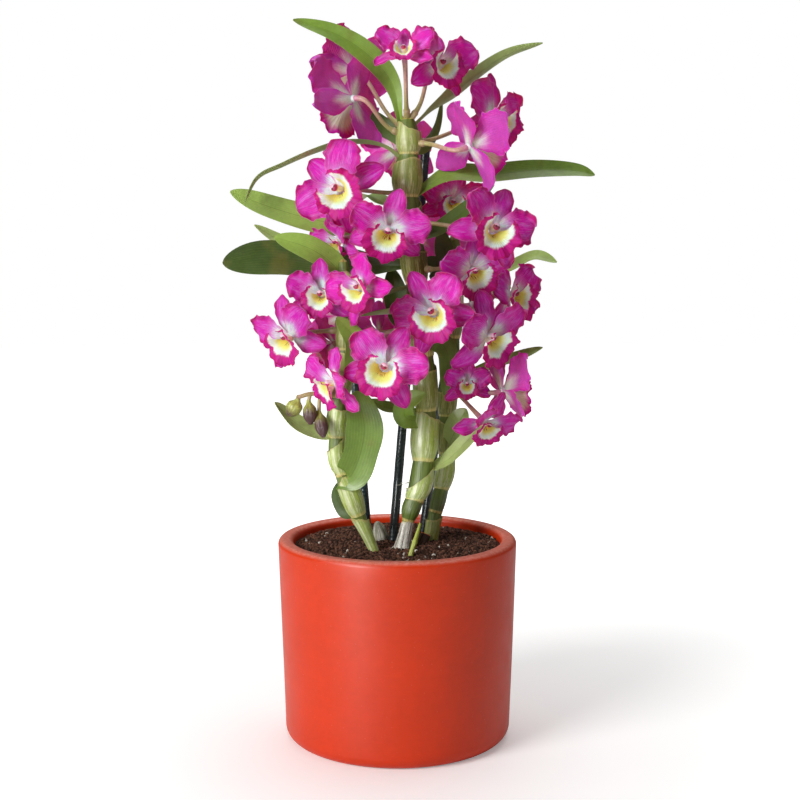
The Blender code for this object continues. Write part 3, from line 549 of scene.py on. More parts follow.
def soilHeight(radius, turn):
    share = radius / innerRadius(soilSizes["top"])
    lumps = np.sin(3 * turn + 9 * share) + np.sin(5 * turn - 14 * share + 1.0)
    fine = np.sin(17 * turn + 21 * share) * np.sin(33 * share + 4 * turn) + np.sin(41 * turn - 9 * share)
    return (soilSizes["top"] + soilSizes["mound"] * (1 - share**2)
            + np.minimum(share * 2, 1.0) * (soilSizes["lump"] * lumps / 2 + soilSizes["fineLump"] * fine))


def buildSoil():
    sizes = soilSizes
    base = soilFinish("darkPeat", soilLook["dark"], soilLook["brown"])
    finishes = {"soilCrumbs": base,
                "barkFibres": soilFinish("barkFibre", soilLook["brown"], soilLook["fibre"]),
                "perlite": soilFinish("perlite", soilLook["stoneShade"], soilLook["stone"])}
    outer = innerRadius(sizes["top"]) - sizes["wallGap"]
    radius = (outer * np.linspace(0.02, 1, sizes["rings"]) ** 0.8)[:, None]
    radius, turn = np.broadcast_arrays(radius, around(sizes["turns"])[None])
    top = np.stack([radius * np.cos(turn), radius * np.sin(turn), soilHeight(radius, turn)], axis=-1)
    skirt = top[-1:] * (sizes["skirt"], sizes["skirt"], 0) + (0, 0, sizes["skirtFoot"])
    shape = Shape()
    shape.wrap(shape.add(np.concatenate([top, skirt]), tone=0.2))
    handOver(shape.made("pottingSoil", [base], 60), "potting_soil", "soil")
    for name, values in soilBits.items():
        bed = Shape()
        bed.wrap(bed.add(top[:-2] + (0, 0, sizes["bedLift"])), capped=False)
        piece = grown(name, bed.mesh(name + "Bed"), strewn, {**values, "Material": finishes[name]})
        handOver(piece, "potting_soil")
        print(name, len(piece.data.polygons), "faces")


buildSoil()
print("soil done")


# Canes and stakes, on the same routes as in the solids.

class Cane:
    # joints: (height, radius there, radius of the swelling above it)
    def __init__(self, route, joints, topRadius):
        self.line = splinePoints(route, 8)
        self.joints = joints
        self.topRadius = topRadius

    def at(self, height):
        return np.stack([np.interp(height, self.line[:, 2], self.line[:, k]) for k in range(3)], axis=-1)

    def radius(self, height):
        lower = [j for j in self.joints if j[0] <= height]
        if not lower:
            return self.joints[0][1]
        low, own, bulge = lower[-1]
        higher = [j for j in self.joints if j[0] > height]
        top, end = (higher[0][0], higher[0][1]) if higher else (self.line[-1][2], self.topRadius)
        share = min((height - low) / max(top - low, 1), 1)
        return own + (end - own) * share + (bulge - (own + end) / 2) * math.sin(math.pi * share**0.8)


canes = {
    "left": Cane(
        [(-10, -23, 112), (-15, -24, 126), (-24, -24, 147), (-30, -26, 164), (-36, -28, 180),
         (-37, -28, 197), (-36, -28, 213), (-33, -26, 235), (-32, -24, 256), (-32, -22, 280),
         (-33, -20, 303)],
        [(112, 2.6, 2.6), (148, 4.6, 6.2), (174, 4.2, 5.4), (197, 4.8, 6.2), (221, 4.6, 5.8),
         (250, 4.4, 5.4), (278, 4.0, 4.8)], 2.6),
    "middle": Cane(
        [(1, -18, 112), (3, -18, 125), (8, -18, 148), (14, -16, 164), (16, -14, 180),
         (17, -12, 198), (18, -10, 214), (17, -10, 230), (15, -10, 254), (13, -8, 279),
         (10, -6, 304), (7, -5, 328), (6, -5, 350), (7, -5, 371), (6, -5, 390)],
        [(112, 4.3, 4.0), (143, 3.7, 6.0), (156, 5.6, 7.2), (180, 6.2, 8.2), (211, 6.0, 7.4),
         (245, 6.4, 7.8), (290, 6.2, 8.0), (319, 6.4, 8.4), (343, 6.6, 9.0), (369, 5.8, 7.2)], 4.0),
    "right": Cane(
        [(18, 4, 112), (21, 5, 125), (24, 8, 141), (28, 10, 157), (31, 12, 172), (31, 14, 195),
         (32, 16, 214), (34, 18, 239), (36, 20, 265), (37, 20, 290), (36, 20, 318)],
        [(112, 4.0, 4.2), (143, 4.2, 5.0), (158, 4.6, 5.6), (180, 4.6, 5.6), (204, 4.6, 5.8),
         (228, 4.6, 5.6), (254, 4.4, 5.4), (284, 4.0, 4.8)], 2.8),
}

stakeSizes = {"radius": 2.85, "sides": 24, "rings": 60, "ripple": 0.06,
              "endDrops": (1.2, 0.35, 0.0), "endRadii": (2.3, 1.5)}
# the foot and the top of each stake
stakeEnds = {"stake_middle": ((-4, 1, 112), (18, 22, 375)),
             "stake_left": ((-19, 36, 112), (-29, 20, 248)),
             "stake_right": ((15, 28, 112), (38, 37, 283))}
stakeLook = {"coat": tint(24, 42, 46), "edge": tint(52, 78, 80)}

caneSizes = {"foot": 112, "step": 0.9, "turns": 36, "tipTurns": 24, "skinShare": 0.985,
             "ringWidth": 0.9, "ringSwell": 0.35, "sheathTurns": 56, "sheathRows": 26,
             "sheathThick": 0.28, "sheathStart": 0.6}
# where a sheath wraps a cane: joint it grows from, where its mouth is lowest and highest as
# shares of the internode, the way the high side points in degrees, and how dry it is
caneLook = {
    "skin": tint(114, 138, 32), "skinShade": tint(76, 98, 24), "stripe": tint(166, 178, 92),
    "ring": tint(232, 218, 126), "ringDash": tint(140, 108, 46),
    "olive": tint(112, 120, 34), "pale": tint(174, 196, 78), "line": tint(236, 241, 198),
    "warmLine": tint(208, 208, 130), "dry": tint(230, 226, 212), "dryShade": tint(96, 84, 70),
    "sheathEdge": tint(206, 192, 118),
    "sheaths": {
        "left": [(112, 0.84, 0.97, 120, 0.46), (148, 0.6, 0.95, 200, 0.40), (174, 0.6, 0.95, 250, 0.48),
                 (197, 0.7, 0.92, 20, 0.40), (221, 0.6, 0.92, 160, 0.2), (250, 0.6, 0.9, 300, 0.1)],
        "middle": [(125, 0.82, 1.0, 200, 1.0), (156, 0.22, 0.86, 262, 0.42), (180, 0.74, 0.95, 140, 0.36),
                   (211, 0.72, 0.92, 20, 0.15), (245, 0.7, 0.92, 200, 0.0), (290, 0.62, 0.9, 60, 0.0),
                   (319, 0.6, 0.9, 330, 0.0), (343, 0.66, 0.9, 210, 0.16), (369, 0.6, 0.95, 90, 0.25)],
        "right": [(112, 0.80, 0.92, 290, 0.2), (158, 0.5, 0.9, 250, 0.35), (180, 0.65, 0.9, 100, 0.1),
                  (204, 0.6, 0.9, 280, 0.1), (228, 0.6, 0.9, 90, 0.0), (254, 0.6, 0.9, 240, 0.1)],
    },
}


def stakeFinish():
    finish, w, into = newFinish("greenCoating", 0.24, Coat_Weight=0.5, Coat_Roughness=0.12)
    # paler streaks up the coating: its own faint streaks and painted highlight lines that stand in for its
    # gloss
    colour = w.mix(w.times(streaked(w, 5.0, 6.0), 0.35), stakeLook["coat"], stakeLook["edge"])
    w.feed(into["Base Color"], blotched(w, colour, 120.0, 0.3))
    grainyGloss(w, into, 300.0, 0.24, 0.42)
    # the coating is rippled every few millimetres
    height = w.put("ShaderNodeSeparateXYZ", (0, w.place()), out=2)
    ripple = w.maths("SINE", w.times(height, 2400.0))
    relief = w.timesPlus(ripple, 0.25, w.noise(w.place(), 420.0, 2.0))
    w.feed(into["Normal"], w.bump(relief, 0.5, 0.0006))
    return finish


def caneFinish():
    # "tone" is 1 on a node's ring, "along" the height in the internode
    finish, w, into = newFinish("caneSkin", 0.34, Specular_IOR_Level=0.55, Coat_Weight=0.15,
                                Coat_Roughness=0.2)
    stripes = streaked(w, 5.0, 0.8)
    shade = w.mix(w.ease(w.painted("along"), 0.0, 0.9, 0.0, 0.5), caneLook["skinShade"], caneLook["skin"])
    colour = w.mix(w.times(stripes, 0.20), shade, caneLook["stripe"])
    ringColour = w.mix(streaked(w, 9.0, 0.2), caneLook["ring"], caneLook["ringDash"])
    colour = w.mix(w.ease(w.painted("tone"), 0.25, 0.8), colour, ringColour)
    w.feed(into["Base Color"], blotched(w, colour, 70.0, 0.45))
    w.feed(into["Roughness"], w.span(stripes, 0.0, 1.0, 0.33, 0.5))
    w.feed(into["Normal"], w.bump(stripes, 0.35, 0.0004))
    return finish


def sheathFinish():
    # papery leaf sheath: "along" runs from its foot to its mouth, "tone" is how dry it is
    finish, w, into = newFinish("paperSheath", 0.4, Specular_IOR_Level=0.5, Coat_Weight=0.3,
                                Coat_Roughness=0.22)
    along, dry = w.painted("along"), w.painted("tone")
    stripes, hairs, threads = streaked(w, 1.7, 0.5), streaked(w, 17.0, 1.2), streaked(w, 6.5, 1.6)
    green = w.mix(w.ease(dry, 0.0, 0.4), caneLook["olive"], caneLook["pale"])
    green = w.mix(w.times(w.ease(hairs, 0.6, 0.1), 0.22), green, caneLook["skinShade"])
    # silvery stripes: the paper's own stripes and painted sheen that stands in for its gloss, stronger on
    # drier sheaths
    silverAndSheen = w.times(stripes, w.timesPlus(hairs, 0.2, 0.35))
    silverAndSheen = w.times(silverAndSheen, w.ease(dry, 0.0, 0.4, 0.5, 1.6))
    # pale ribs gather towards the foot
    threads = w.times(w.ease(threads, 0.5, 0.85, 0.0, 0.6), w.ease(along, 0.95, 0.5))
    silverAndSheen = w.maths("MAXIMUM", silverAndSheen, threads)
    lineColour = w.mix(w.ease(dry, 0.1, 0.4), caneLook["warmLine"], caneLook["line"])
    colour = w.mix(silverAndSheen, green, lineColour)
    aged = w.mix(w.times(w.ease(hairs, 0.45, 0.9), 0.85), caneLook["dry"], caneLook["dryShade"])
    colour = w.mix(w.ease(dry, 0.5, 1.0), colour, aged)
    dots = streaked(w, 8.0, 0.0)
    foot = w.times(w.ease(along, 0.11, 0.04), w.timesPlus(dots, 0.75, 0.25))
    foot = w.times(foot, w.ease(dry, 0.9, 0.7))
    colour = w.mix(foot, colour, caneLook["ring"])
    mouth = w.times(w.ease(along, 0.93, 0.99), w.timesPlus(dots, 0.5, 0.4))
    colour = w.mix(mouth, colour, caneLook["sheathEdge"])
    w.feed(into["Base Color"], blotched(w, colour, 90.0, 0.35))
    w.feed(into["Roughness"], w.span(hairs, 0.0, 1.0, 0.30, 0.5))
    w.feed(into["Normal"], w.bump(w.plus(stripes, hairs), 0.45, 0.0003))
    return finish


def buildStakes():
    sizes = stakeSizes
    finish = stakeFinish()
    for node, ends in stakeEnds.items():
        low, high = np.array(ends, float)
        share = np.append(np.linspace(0, 1, sizes["rings"]), [1.0, 1.0])
        line = low + (high - low) * share[:, None]
        line[-3:] -= unit(high - low) * np.reshape(sizes["endDrops"], (3, 1))
        radii = sizes["radius"] + sizes["ripple"] * np.sin(np.arange(len(line)) * 1.9)
        radii[-2:] = sizes["endRadii"]
        shape = Shape()
        addStem(shape, line, radii, sizes["sides"], along=np.linspace(0, 9, len(line))[:, None])
        handOver(shape.made(pieceName(node), [finish]), "green_stake", node)


def nearestJoint(cane, height):
    return min(abs(height - joint[0]) for joint in cane.joints[1:])


def buildCane(name, cane, skin):
    sizes = caneSizes
    heights = np.arange(sizes["foot"], cane.line[-1][2] + 0.01, sizes["step"])
    rings = [math.exp(-(nearestJoint(cane, h) / sizes["ringWidth"]) ** 2) for h in heights]
    rings = np.array(rings)[:, None]
    radii = np.array([cane.radius(h) for h in heights])
    turn = around(sizes["turns"])
    ribs = 0.10 * np.sin(9 * turn)[None] + 0.06 * np.sin(17 * turn + heights[:, None] / 9)
    spread = radii[:, None] * sizes["skinShare"] + rings * sizes["ringSwell"] + ribs * (1 - rings)
    lows = [max((j[0] for j in cane.joints if j[0] <= h), default=sizes["foot"]) for h in heights]
    line = cane.at(heights)
    shape = Shape()
    addStem(shape, line, spread, sizes["turns"], along=((heights - lows) / 30)[:, None], tone=rings)
    tip = line[-1] + (line[-1] - line[-2]) * np.array([[0.0], [1.5], [2.2]])
    addStem(shape, tip, [radii[-1], radii[-1] * 0.6, 0.3], sizes["tipTurns"], along=1.0, tone=0.6)
    handOver(shape.made(name + "Cane", [skin]), "cane_and_leaf", "cane_" + name)


def addSheath(shape, cane, row, chance):
    sizes = caneSizes
    foot, lowest, highest, way, dry = row
    tops = [joint[0] for joint in cane.joints] + [cane.line[-1][2]]
    top = min(t for t in tops if t > foot)
    angle = around(sizes["sheathTurns"])
    slant = (0.5 + 0.5 * np.cos(angle - math.radians(way))) ** 1.4
    ragged = chance.uniform(0.4, 0.8) * (0.35 + dry) * (
        np.sin(5 * angle + chance.uniform(0, 6)) + 0.6 * np.sin(13 * angle + chance.uniform(0, 6)))
    mouth = foot + (top - foot) * (lowest + (highest - lowest) * slant) + ragged * 0.7
    share = np.linspace(0, 1, sizes["sheathRows"])[:, None]
    height = foot - sizes["sheathStart"] + (mouth - foot + sizes["sheathStart"]) * share
    puff = 0.42 + 0.5 * dry * np.sin(math.pi * share) + (0.5 + 0.2 * dry) * share**6
    if dry > 0.9:  # the withered one at the soil clings to the cane and spreads at its foot
        puff = 0.15 + 1.5 * (1 - share) ** 2.5
    folds = 0.10 * np.sin(16 * angle + foot) + 0.07 * np.sin(27 * angle + 2 * foot)
    girth = np.array([[cane.radius(h) for h in level] for level in height])
    girth = girth + puff + folds * np.minimum(share * 6, 1)
    sides, others = framesAlong(cane.at(np.linspace(foot - 1, top + 1, 9)))
    spread = sides[4] * np.cos(angle)[:, None] + others[4] * np.sin(angle)[:, None]
    layers = [shape.add(cane.at(height) + spread * (girth - inset)[..., None], along=share, tone=dry,
                        across=np.cos(angle)[None], side=np.sin(angle)[None])
              for inset in (0, sizes["sheathThick"])]
    for rings in layers:
        shape.wrap(rings, capped=False)
    outer, inner = layers
    for edge in (0, -1):
        shape.quads(outer[edge], np.roll(outer[edge], -1), np.roll(inner[edge], -1), inner[edge])


def buildSheaths(name, cane, paper, chance):
    shape = Shape()
    for row in caneLook["sheaths"][name]:
        addSheath(shape, cane, row, chance)
    handOver(shape.made(name + "Sheaths", [paper]), "cane_and_leaf")


buildStakes()
chance = random.Random(71)
caneSkin = caneFinish()
paperSheath = sheathFinish()
for caneName, cane in canes.items():
    buildCane(caneName, cane, caneSkin)
    buildSheaths(caneName, cane, paperSheath, chance)
print("canes, sheaths and stakes done")


# The leaves.

# cane, midrib from the stem to the tip, half width, the way the upper face looks, depth of the
# fold, and shade from 0 for bright to 1 for dark, which is painted shade for leaves deep in the
# cluster, or below 0 where the pale underside shows
leafRows = [
    ("middle", [(2, -5, 388), (-3, -10, 410), (-17, -18, 426), (-37, -21, 438.5), (-62, -23, 446.5)],
     6.8, (-0.2, -0.9, 0.4), 0.25, 0.3),
    ("middle", [(8, -3, 382), (19, 8, 394), (33, 16, 405), (48, 16, 417), (68, 14, 430),
                (90, 13, 437)], 5.6, (0, 0.55, 0.8), 0.3, 0.45),
    ("middle", [(9, 0, 368), (17, 10, 374), (24, 18, 386), (28, 26, 404)],
     4.4, (0.8, -0.3, 0.2), 0.3, 0.6),
    ("middle", [(3, -6, 364), (-10, -8, 373), (-30, -11, 374), (-50, -14, 368.5), (-70, -17, 360),
                (-84, -19, 353), (-92, -21, 339)], 6.2, (-0.1, 0.1, 1), 0.35, 0.75),
    ("middle", [(5, -5, 320), (-20, 0, 323), (-50, -4, 328), (-78, -8, 336), (-102, -12, 345.5)],
     8.4, (0.2, -0.95, 0.35), 0.2, -0.3),
    ("middle", [(8, -4, 300), (-20, 8, 300), (-50, 11, 301), (-80, 7, 304.5), (-109, 2, 301.5)],
     11.0, (0.1, -0.95, 0.3), 0.2, 0.95),
    ("left", [(-32, -22, 286), (-38, -20, 300), (-53, -24, 311), (-74, -27, 318)],
     8.0, (0.3, -0.95, 0.3), 0.2, -0.2),
    ("middle", [(9, -4, 305), (-20, 16, 304), (-50, 27, 305), (-75, 27, 315), (-91, 24, 325)],
     5.4, (0.3, -0.8, 0.5), 0.25, -0.6),
    ("middle", [(6, -3, 371), (-4, 6, 381), (-11, 10, 388), (-15, 13, 395)],
     6.0, (0.3, -0.9, 0), 0.25, 0.8),
    ("middle", [(9, -5, 340), (22, -5, 351), (35, -3, 356), (55, 1, 355.5), (84, 5, 358.5),
                (110, 8, 358.5), (123, 9, 356)], 7.6, (-0.1, -0.75, 0.65), 0.3, 0.35),
    ("middle", [(10, -3, 315), (26, -1, 322), (42, 1, 334), (60, 5, 350)],
     6.0, (-0.4, -0.7, 0.5), 0.3, 0.8),
    ("right", [(36, 20, 284), (52, 27, 290), (74, 26, 298.5), (88, 22, 305), (101, 18, 301.5)],
     6.2, (-0.2, -0.5, 0.8), 0.3, -0.4),
    ("right", [(34, 18, 226), (58, 18, 235), (78, 14, 242), (92, 11, 248)],
     4.6, (-0.3, -0.6, 0.7), 0.3, -0.3),
    ("middle", [(12, -9, 269), (6, -22, 271), (-6, -30, 272), (-22, -37, 271)],
     7.2, (0, 0.35, 1), 0.3, 0.85),
    ("middle", [(11, -8, 288), (0, -18, 285), (-10, -23, 282), (-20, -24, 280)],
     7.4, (0, 0.2, 1), 0.3, 0.85),
    ("left", [(-34, -26, 226), (-25, -38, 243), (-25, -44, 257), (-36, -47, 271)],
     7.4, (0.1, -0.95, 0.2), 0.2, 0.15),
    ("middle", [(17, -10, 251), (24, -14, 254), (31, -17, 246), (29, -18, 221)],
     6.8, (0.1, -0.9, 0.2), 0.2, 0.7),
    ("left", [(-34, -27, 171), (-28, -34, 174), (-22, -37, 189), (-20, -39, 206), (-25, -38, 226)],
     11.0, (0.1, -0.98, 0.15), 0.15, 0.5),
    ("left", [(-36, -27, 195), (-50, -25, 197.5), (-64, -25, 205.5), (-75, -26, 217.5)],
     7.2, (0.4, -0.5, 0.75), 0.3, -0.95),
    ("left", [(-25, -25, 146), (-33, -19, 148), (-38, -16, 157), (-37, -15, 166)],
     4.4, (-0.7, -0.5, 0.3), 0.2, 0.95),
    ("middle", [(15, -12, 203), (5, -23, 208), (6, -29, 218), (17, -32, 224)],
     7.0, (-0.2, -0.9, 0.4), 0.15, 0.15),
    ("middle", [(16, -11, 209), (1, -16, 212), (-8, -22, 214), (-17, -27, 219)],
     5.0, (0, -0.7, 0.7), 0.3, 0.4),
    ("right", [(31, 13, 179), (35, 3, 192), (39, -3, 202), (43, -5, 211)],
     8.0, (-0.5, -0.8, 0.3), 0.3, -0.5),
    ("middle", [(15, -14, 172), (30, -15, 179), (42, -18, 191), (53, -20, 205)],
     6.4, (0.1, -0.5, 0.85), 0.3, -0.7),
    ("middle", [(5, -3, 335), (-8, 22, 338), (-18, 46, 344), (-26, 70, 340)],
     6.4, (0, -0.3, 1), 0.3, 0.4),
    ("left", [(-32, -23, 270), (-45, 8, 283), (-57, 36, 293), (-70, 58, 292)],
     6.4, (0, -0.3, 1), 0.3, 0.3),
    ("right", [(37, 20, 264), (54, 38, 274), (66, 60, 284), (76, 78, 282)],
     6.0, (0, -0.3, 1), 0.3, 0.3),
    ("middle", [(14, -4, 302), (22, 6, 300), (27, 9, 291), (26, 10, 279)],
     6.6, (0, -0.9, 0.3), 0.3, 0.9),
    ("middle", [(10, 2, 258), (3, 12, 266), (-1, 16, 280), (-4, 18, 298)],
     8.0, (0, -0.95, 0.2), 0.3, 0.9),
    ("right", [(35, 18, 290), (32, 15, 299), (29, 12, 311), (27, 11, 323)],
     6.4, (0, -0.95, 0.2), 0.3, 0.9),
    ("right", [(31, 16, 207), (20, 21, 213), (8, 36, 226), (-2, 56, 240), (-8, 70, 244)],
     6.2, (0.3, 0.4, 0.9), 0.3, 0.5),
]
leafLook = {"bright": tint(144, 180, 66), "dark": tint(60, 80, 28), "under": tint(182, 200, 124),
            "vein": tint(168, 184, 110), "spot": tint(120, 112, 50), "veinCount": 13.0}
leafSizes = {"rows": 40, "columns": 15, "thick": 0.5, "leastHalf": 0.5, "sharpUpTo": 7.2}


def leafFinish():
    finish, w, into = newFinish("leafBlade", 0.42, Specular_IOR_Level=0.45)
    along, across, side, tone = w.allPainted()
    lines = w.group(veins, Along=along, Across=across, Count=leafLook["veinCount"], Wander=0.06, Seed=tone)
    # painted shade: a leaf that sits in shadow is darkened as a whole towards the dark green
    colour = w.mix(tone, leafLook["bright"], leafLook["dark"])
    colour = w.mix(w.ease(tone, 0.0, -0.8), colour, leafLook["under"])
    colour = w.mix(w.times(side, 0.62), colour, leafLook["under"])
    colour = w.mix(w.times(lines, w.span(tone, 0.3, 0.9, 0.13, 0.05)), colour, leafLook["vein"])
    midrib = w.ease(w.maths("ABSOLUTE", across), 0.05, 0.0)
    colour = w.mix(w.times(midrib, 0.35), colour, leafLook["dark"])
    specks = w.ease(w.noise(w.place(), 210.0, 2.0, 0.7), 0.70, 0.76)
    tired = w.ease(w.plus(w.noise(w.place(), 34.0, 3.0), w.times(along, 0.12)), 0.66, 0.78)
    colour = w.mix(w.times(w.maths("MAXIMUM", specks, tired), 0.45), colour, leafLook["spot"])
    w.feed(into["Base Color"], blotched(w, colour, 60.0, 0.42))
    grainyGloss(w, into, 130.0, 0.34, 0.52, 3.0)
    w.feed(into["Normal"], w.bump(w.minus(lines, midrib), 0.16, 0.0003))
    return finish


def leafGrid(points, halfWidth, face, fold, wave):
    sizes = leafSizes
    share = 1 - (1 - np.linspace(0, 1, sizes["rows"])) ** 1.25
    line = sampled(splinePoints(points, 6), share)
    along = unit(np.gradient(line, axis=0))
    over = unit(np.cross(along, unit(np.array(face, float))))
    lift = unit(np.cross(over, along))
    foot = 0.6 if fold < 0.2 else 0.26
    swell = foot + (1 - foot) * np.sin(math.pi / 2 * np.minimum(share / 0.45, 1)) ** 1.5
    # the broader a leaf, the blunter its tip
    blunt = 2.2 + 0.9 * max(halfWidth - sizes["sharpUpTo"], 0)
    swell = swell * np.maximum(1 - np.maximum((share - 0.45) / 0.55, 0) ** blunt, 0) ** 0.6
    half = np.maximum(halfWidth * np.minimum(swell, 1.0), sizes["leastHalf"])
    half = half * (1 + 0.05 * np.sin(15 * share + wave) * min(halfWidth / 11, 1) ** 3)
    t = np.linspace(-1, 1, sizes["columns"])[None, :, None]
    deep = fold + 0.9 * np.maximum(1 - share / 0.14, 0)[:, None, None]
    ripple = 0.045 * np.sin(11 * share[:, None, None] + wave + 1.3 * t) * np.abs(t) ** 1.5
    rise = half[:, None, None] * (deep * np.abs(t) ** 1.35 + ripple)
    grid = line[:, None] + over[:, None] * half[:, None, None] * t + lift[:, None] * rise
    return grid, share[:, None], t[..., 0]


def buildLeaves():
    finish = leafFinish()
    for name in canes:
        shape = Shape()
        for row, (cane, points, half, face, fold, tone) in enumerate(leafRows):
            if cane != name:
                continue
            grid, along, across = leafGrid(points, half, face, fold, row * 1.7)
            # the wiring takes side 0 for the upper face
            addSheet(shape, grid[:, ::-1], leafSizes["thick"], along=along, across=across, tone=tone)
        handOver(shape.made(name + "Leaves", [finish]), "cane_and_leaf")


buildLeaves()
print("leaves done")


# The flowers.

# cane and height that carry it, centre, degrees right of the front and up, roll, scale and how
# far it is open
flowerRows = {
    "bloom_top_back_left": ("middle", 382, (-28, 24, 421), -148, 8, 43, 1.12, 0.85),
    "bloom_top_left": ("middle", 378, (-27, -11, 401), -130, -11, 22, 1.19, 0.85),
    "bloom_crown": ("middle", 389, (4, -29, 426), -7, 45, 2, 0.72, 0.45),
    "bloom_crown_right": ("middle", 387, (24, -9, 421), 38, 16, -10, 0.95, 0.75),
    "bloom_top_right": ("middle", 375, (43, -25, 372), 124, 24, 16, 1.2, 0.9),
    "bloom_top_far_right": ("middle", 374, (58, 14, 391), 56, 8, -15, 1.08, 0.85),
    "bloom_upper_left": ("middle", 344, (-34, -30, 347), -26, 0, 52, 1.05, 0.95),
    "bloom_upper_under": ("middle", 311, (-35, -13, 316), -54, -20, 11, 0.73, 0.5),
    "bloom_upper_middle": ("middle", 322, (-5, -42, 323), -5, -18, -12, 0.92, 0.95),
    "bloom_upper_shade": ("right", 312, (34, 15, 340), 10, -6, -13, 0.8, 0.6),
    "bloom_upper_right": ("middle", 327, (56, -36, 323), 24, 6, -26, 1.0, 0.9),
    "bloom_right_slope": ("middle", 298, (44, -28, 299), 30, -15, 8, 0.94, 0.85),
    "bloom_left_round": ("left", 290, (-45, -33, 284), -16, 2, 0, 0.8, 0.65),
    "bloom_left_front": ("left", 296, (-20, -55, 289), -46, 4, 31, 0.85, 0.75),
    "bloom_far_left": ("left", 262, (-65, -23, 258), -44, -10, 14, 0.95, 0.8),
    "bloom_left_under": ("left", 258, (-40, -9, 252), -125, -20, 0, 0.8, 0.7),
    "bloom_low_left": ("left", 236, (-37, -51, 233), -57, -13, -14, 0.83, 0.8),
    "bloom_low_front": ("left", 261, (-7, -60, 243), -9, 1, -26, 0.97, 0.95),
    "bloom_inner": ("middle", 262, (-12, 6, 258), -150, 0, 0, 0.68, 0.6),
    "bloom_centre": ("middle", 292, (22, -43, 274), -18, 2, 30, 0.98, 0.95),
    "bloom_right_inner": ("right", 287, (46, -8, 276), 65, 14, 3, 0.72, 0.7),
    "bloom_right_front": ("right", 269, (54, -33, 259), 40, -10, 10, 1.0, 0.8),
    "bloom_far_right": ("right", 290, (70, 1, 281), 46, 14, 14, 0.95, 0.8),
    "bloom_low_shade": ("right", 242, (43, -15, 228), 0, -3, 0, 0.58, 0.5),
    "bloom_low_right": ("right", 232, (65, -14, 223), 114, 12, -12, 1.05, 0.8),
    "bloom_lowest_right": ("right", 222, (53, -37, 207), 32, -24, -20, 0.75, 0.75),
    "bloom_rear_top": ("middle", 350, (0, 36, 372), 172, 10, 0, 0.95, 0.9),
    "bloom_rear_upper": ("middle", 316, (10, 44, 318), 165, 0, 0, 0.95, 0.9),
    "bloom_rear_left": ("left", 273, (-36, 24, 267), -163, 8, 5, 0.95, 0.9),
    "bloom_rear_low": ("right", 250, (14, 54, 262), 178, -5, 0, 0.95, 0.9),
    "bloom_rear_right": ("right", 300, (50, 46, 312), 145, 5, 0, 0.9, 0.9),
}
# sepals, then petals: the ways they point, length, half width, outline (width at the claw, place of
# the widest point, how fast it widens and closes), the ranges that length, curl, turn and rise are
# drawn from, and how they lie, wave and fray
tepalKinds = (
    {"turns": (90, 212, 328), "length": 27.0, "halfWidth": 7.4, "outline": (0.30, 0.50, 1.5, 0.65),
     "stretch": (0.95, 1.05), "curl": (24, 50), "swing": (-7, 7), "rise": 4, "sway": (-6, 8),
     "layer": -0.8, "ruffle": 1.2, "frill": 0.45},
    {"turns": (25, 155), "length": 27.0, "halfWidth": 11.4, "outline": (0.20, 0.56, 1.6, 0.45),
     "stretch": (0.96, 1.04), "curl": (20, 48), "swing": (-6, 6), "rise": 22, "sway": (-9, 9),
     "layer": 1.1, "ruffle": 1.9, "frill": 1.25},
)
flowerSizes = {
    "tepalRows": 30, "tepalColumns": 17, "lipRows": 24, "lipColumns": 61,
    "closedLift": 40, "closedLip": 0.65,
    "lipThroat": 4.0, "lipMargin": 14.2, "lipDepth": 11.5, "lipTilt": 14.0, "lipSweep": (84.0, 154.0),
    "hubRadius": 2.4, "hubLow": -1.5, "hubHigh": 3.0, "columnLength": 7.0, "columnRadius": 2.1,
    "columnTurns": 20, "stalkRadius": 1.15, "stalkRings": 18, "stubReach": 3.5,
    "stubRise": 0.7, "knobPlaces": (0.3, 0.75, 0.85, 0.97, 1.06), "knobRadii": (2.3, 2.05, 2.2, 2.1, 1.5),
    "clearOfStems": 2.4, "thick": 0.42,
}
flowerLook = {
    "petal": tint(232, 28, 182), "deep": tint(176, 8, 84), "light": tint(238, 152, 236),
    "blush": tint(238, 146, 224), "base": tint(255, 252, 248), "rim": tint(240, 160, 220),
    "back": tint(220, 80, 188), "backBase": tint(250, 240, 230), "vein": tint(154, 8, 94),
    "lipMargin": tint(200, 18, 138), "lipWhite": tint(255, 252, 238), "lipYellow": tint(252, 232, 130),
    "lipThroat": tint(248, 214, 96), "lipMark": tint(128, 12, 50), "lipBack": tint(246, 232, 208),
    "column": tint(252, 238, 238), "columnPink": tint(232, 130, 186), "mouth": tint(176, 20, 84),
    "eye": tint(84, 8, 34), "stalk": tint(206, 160, 142), "stalkGreen": tint(172, 164, 98),
    "speck": tint(104, 60, 48), "veinCount": 21.0, "lipVeinCount": 30.0, "translucent": 0.5,
}


def softSkin(w, into, lines, cellScale, cellDepth, gloss, foldScale, foldDepth, strength):
    # the fine cells and soft folds of a petal
    cells = w.noise(w.place(), cellScale, 2.0, 0.6)
    w.feed(into["Roughness"], w.span(cells, 0.3, 0.7, *gloss))
    folds = w.noise(w.place(), foldScale, 3.0, 0.55)
    relief = w.timesPlus(folds, foldDepth, w.timesPlus(cells, cellDepth, lines))
    w.feed(into["Normal"], w.bump(relief, strength, 0.0004))


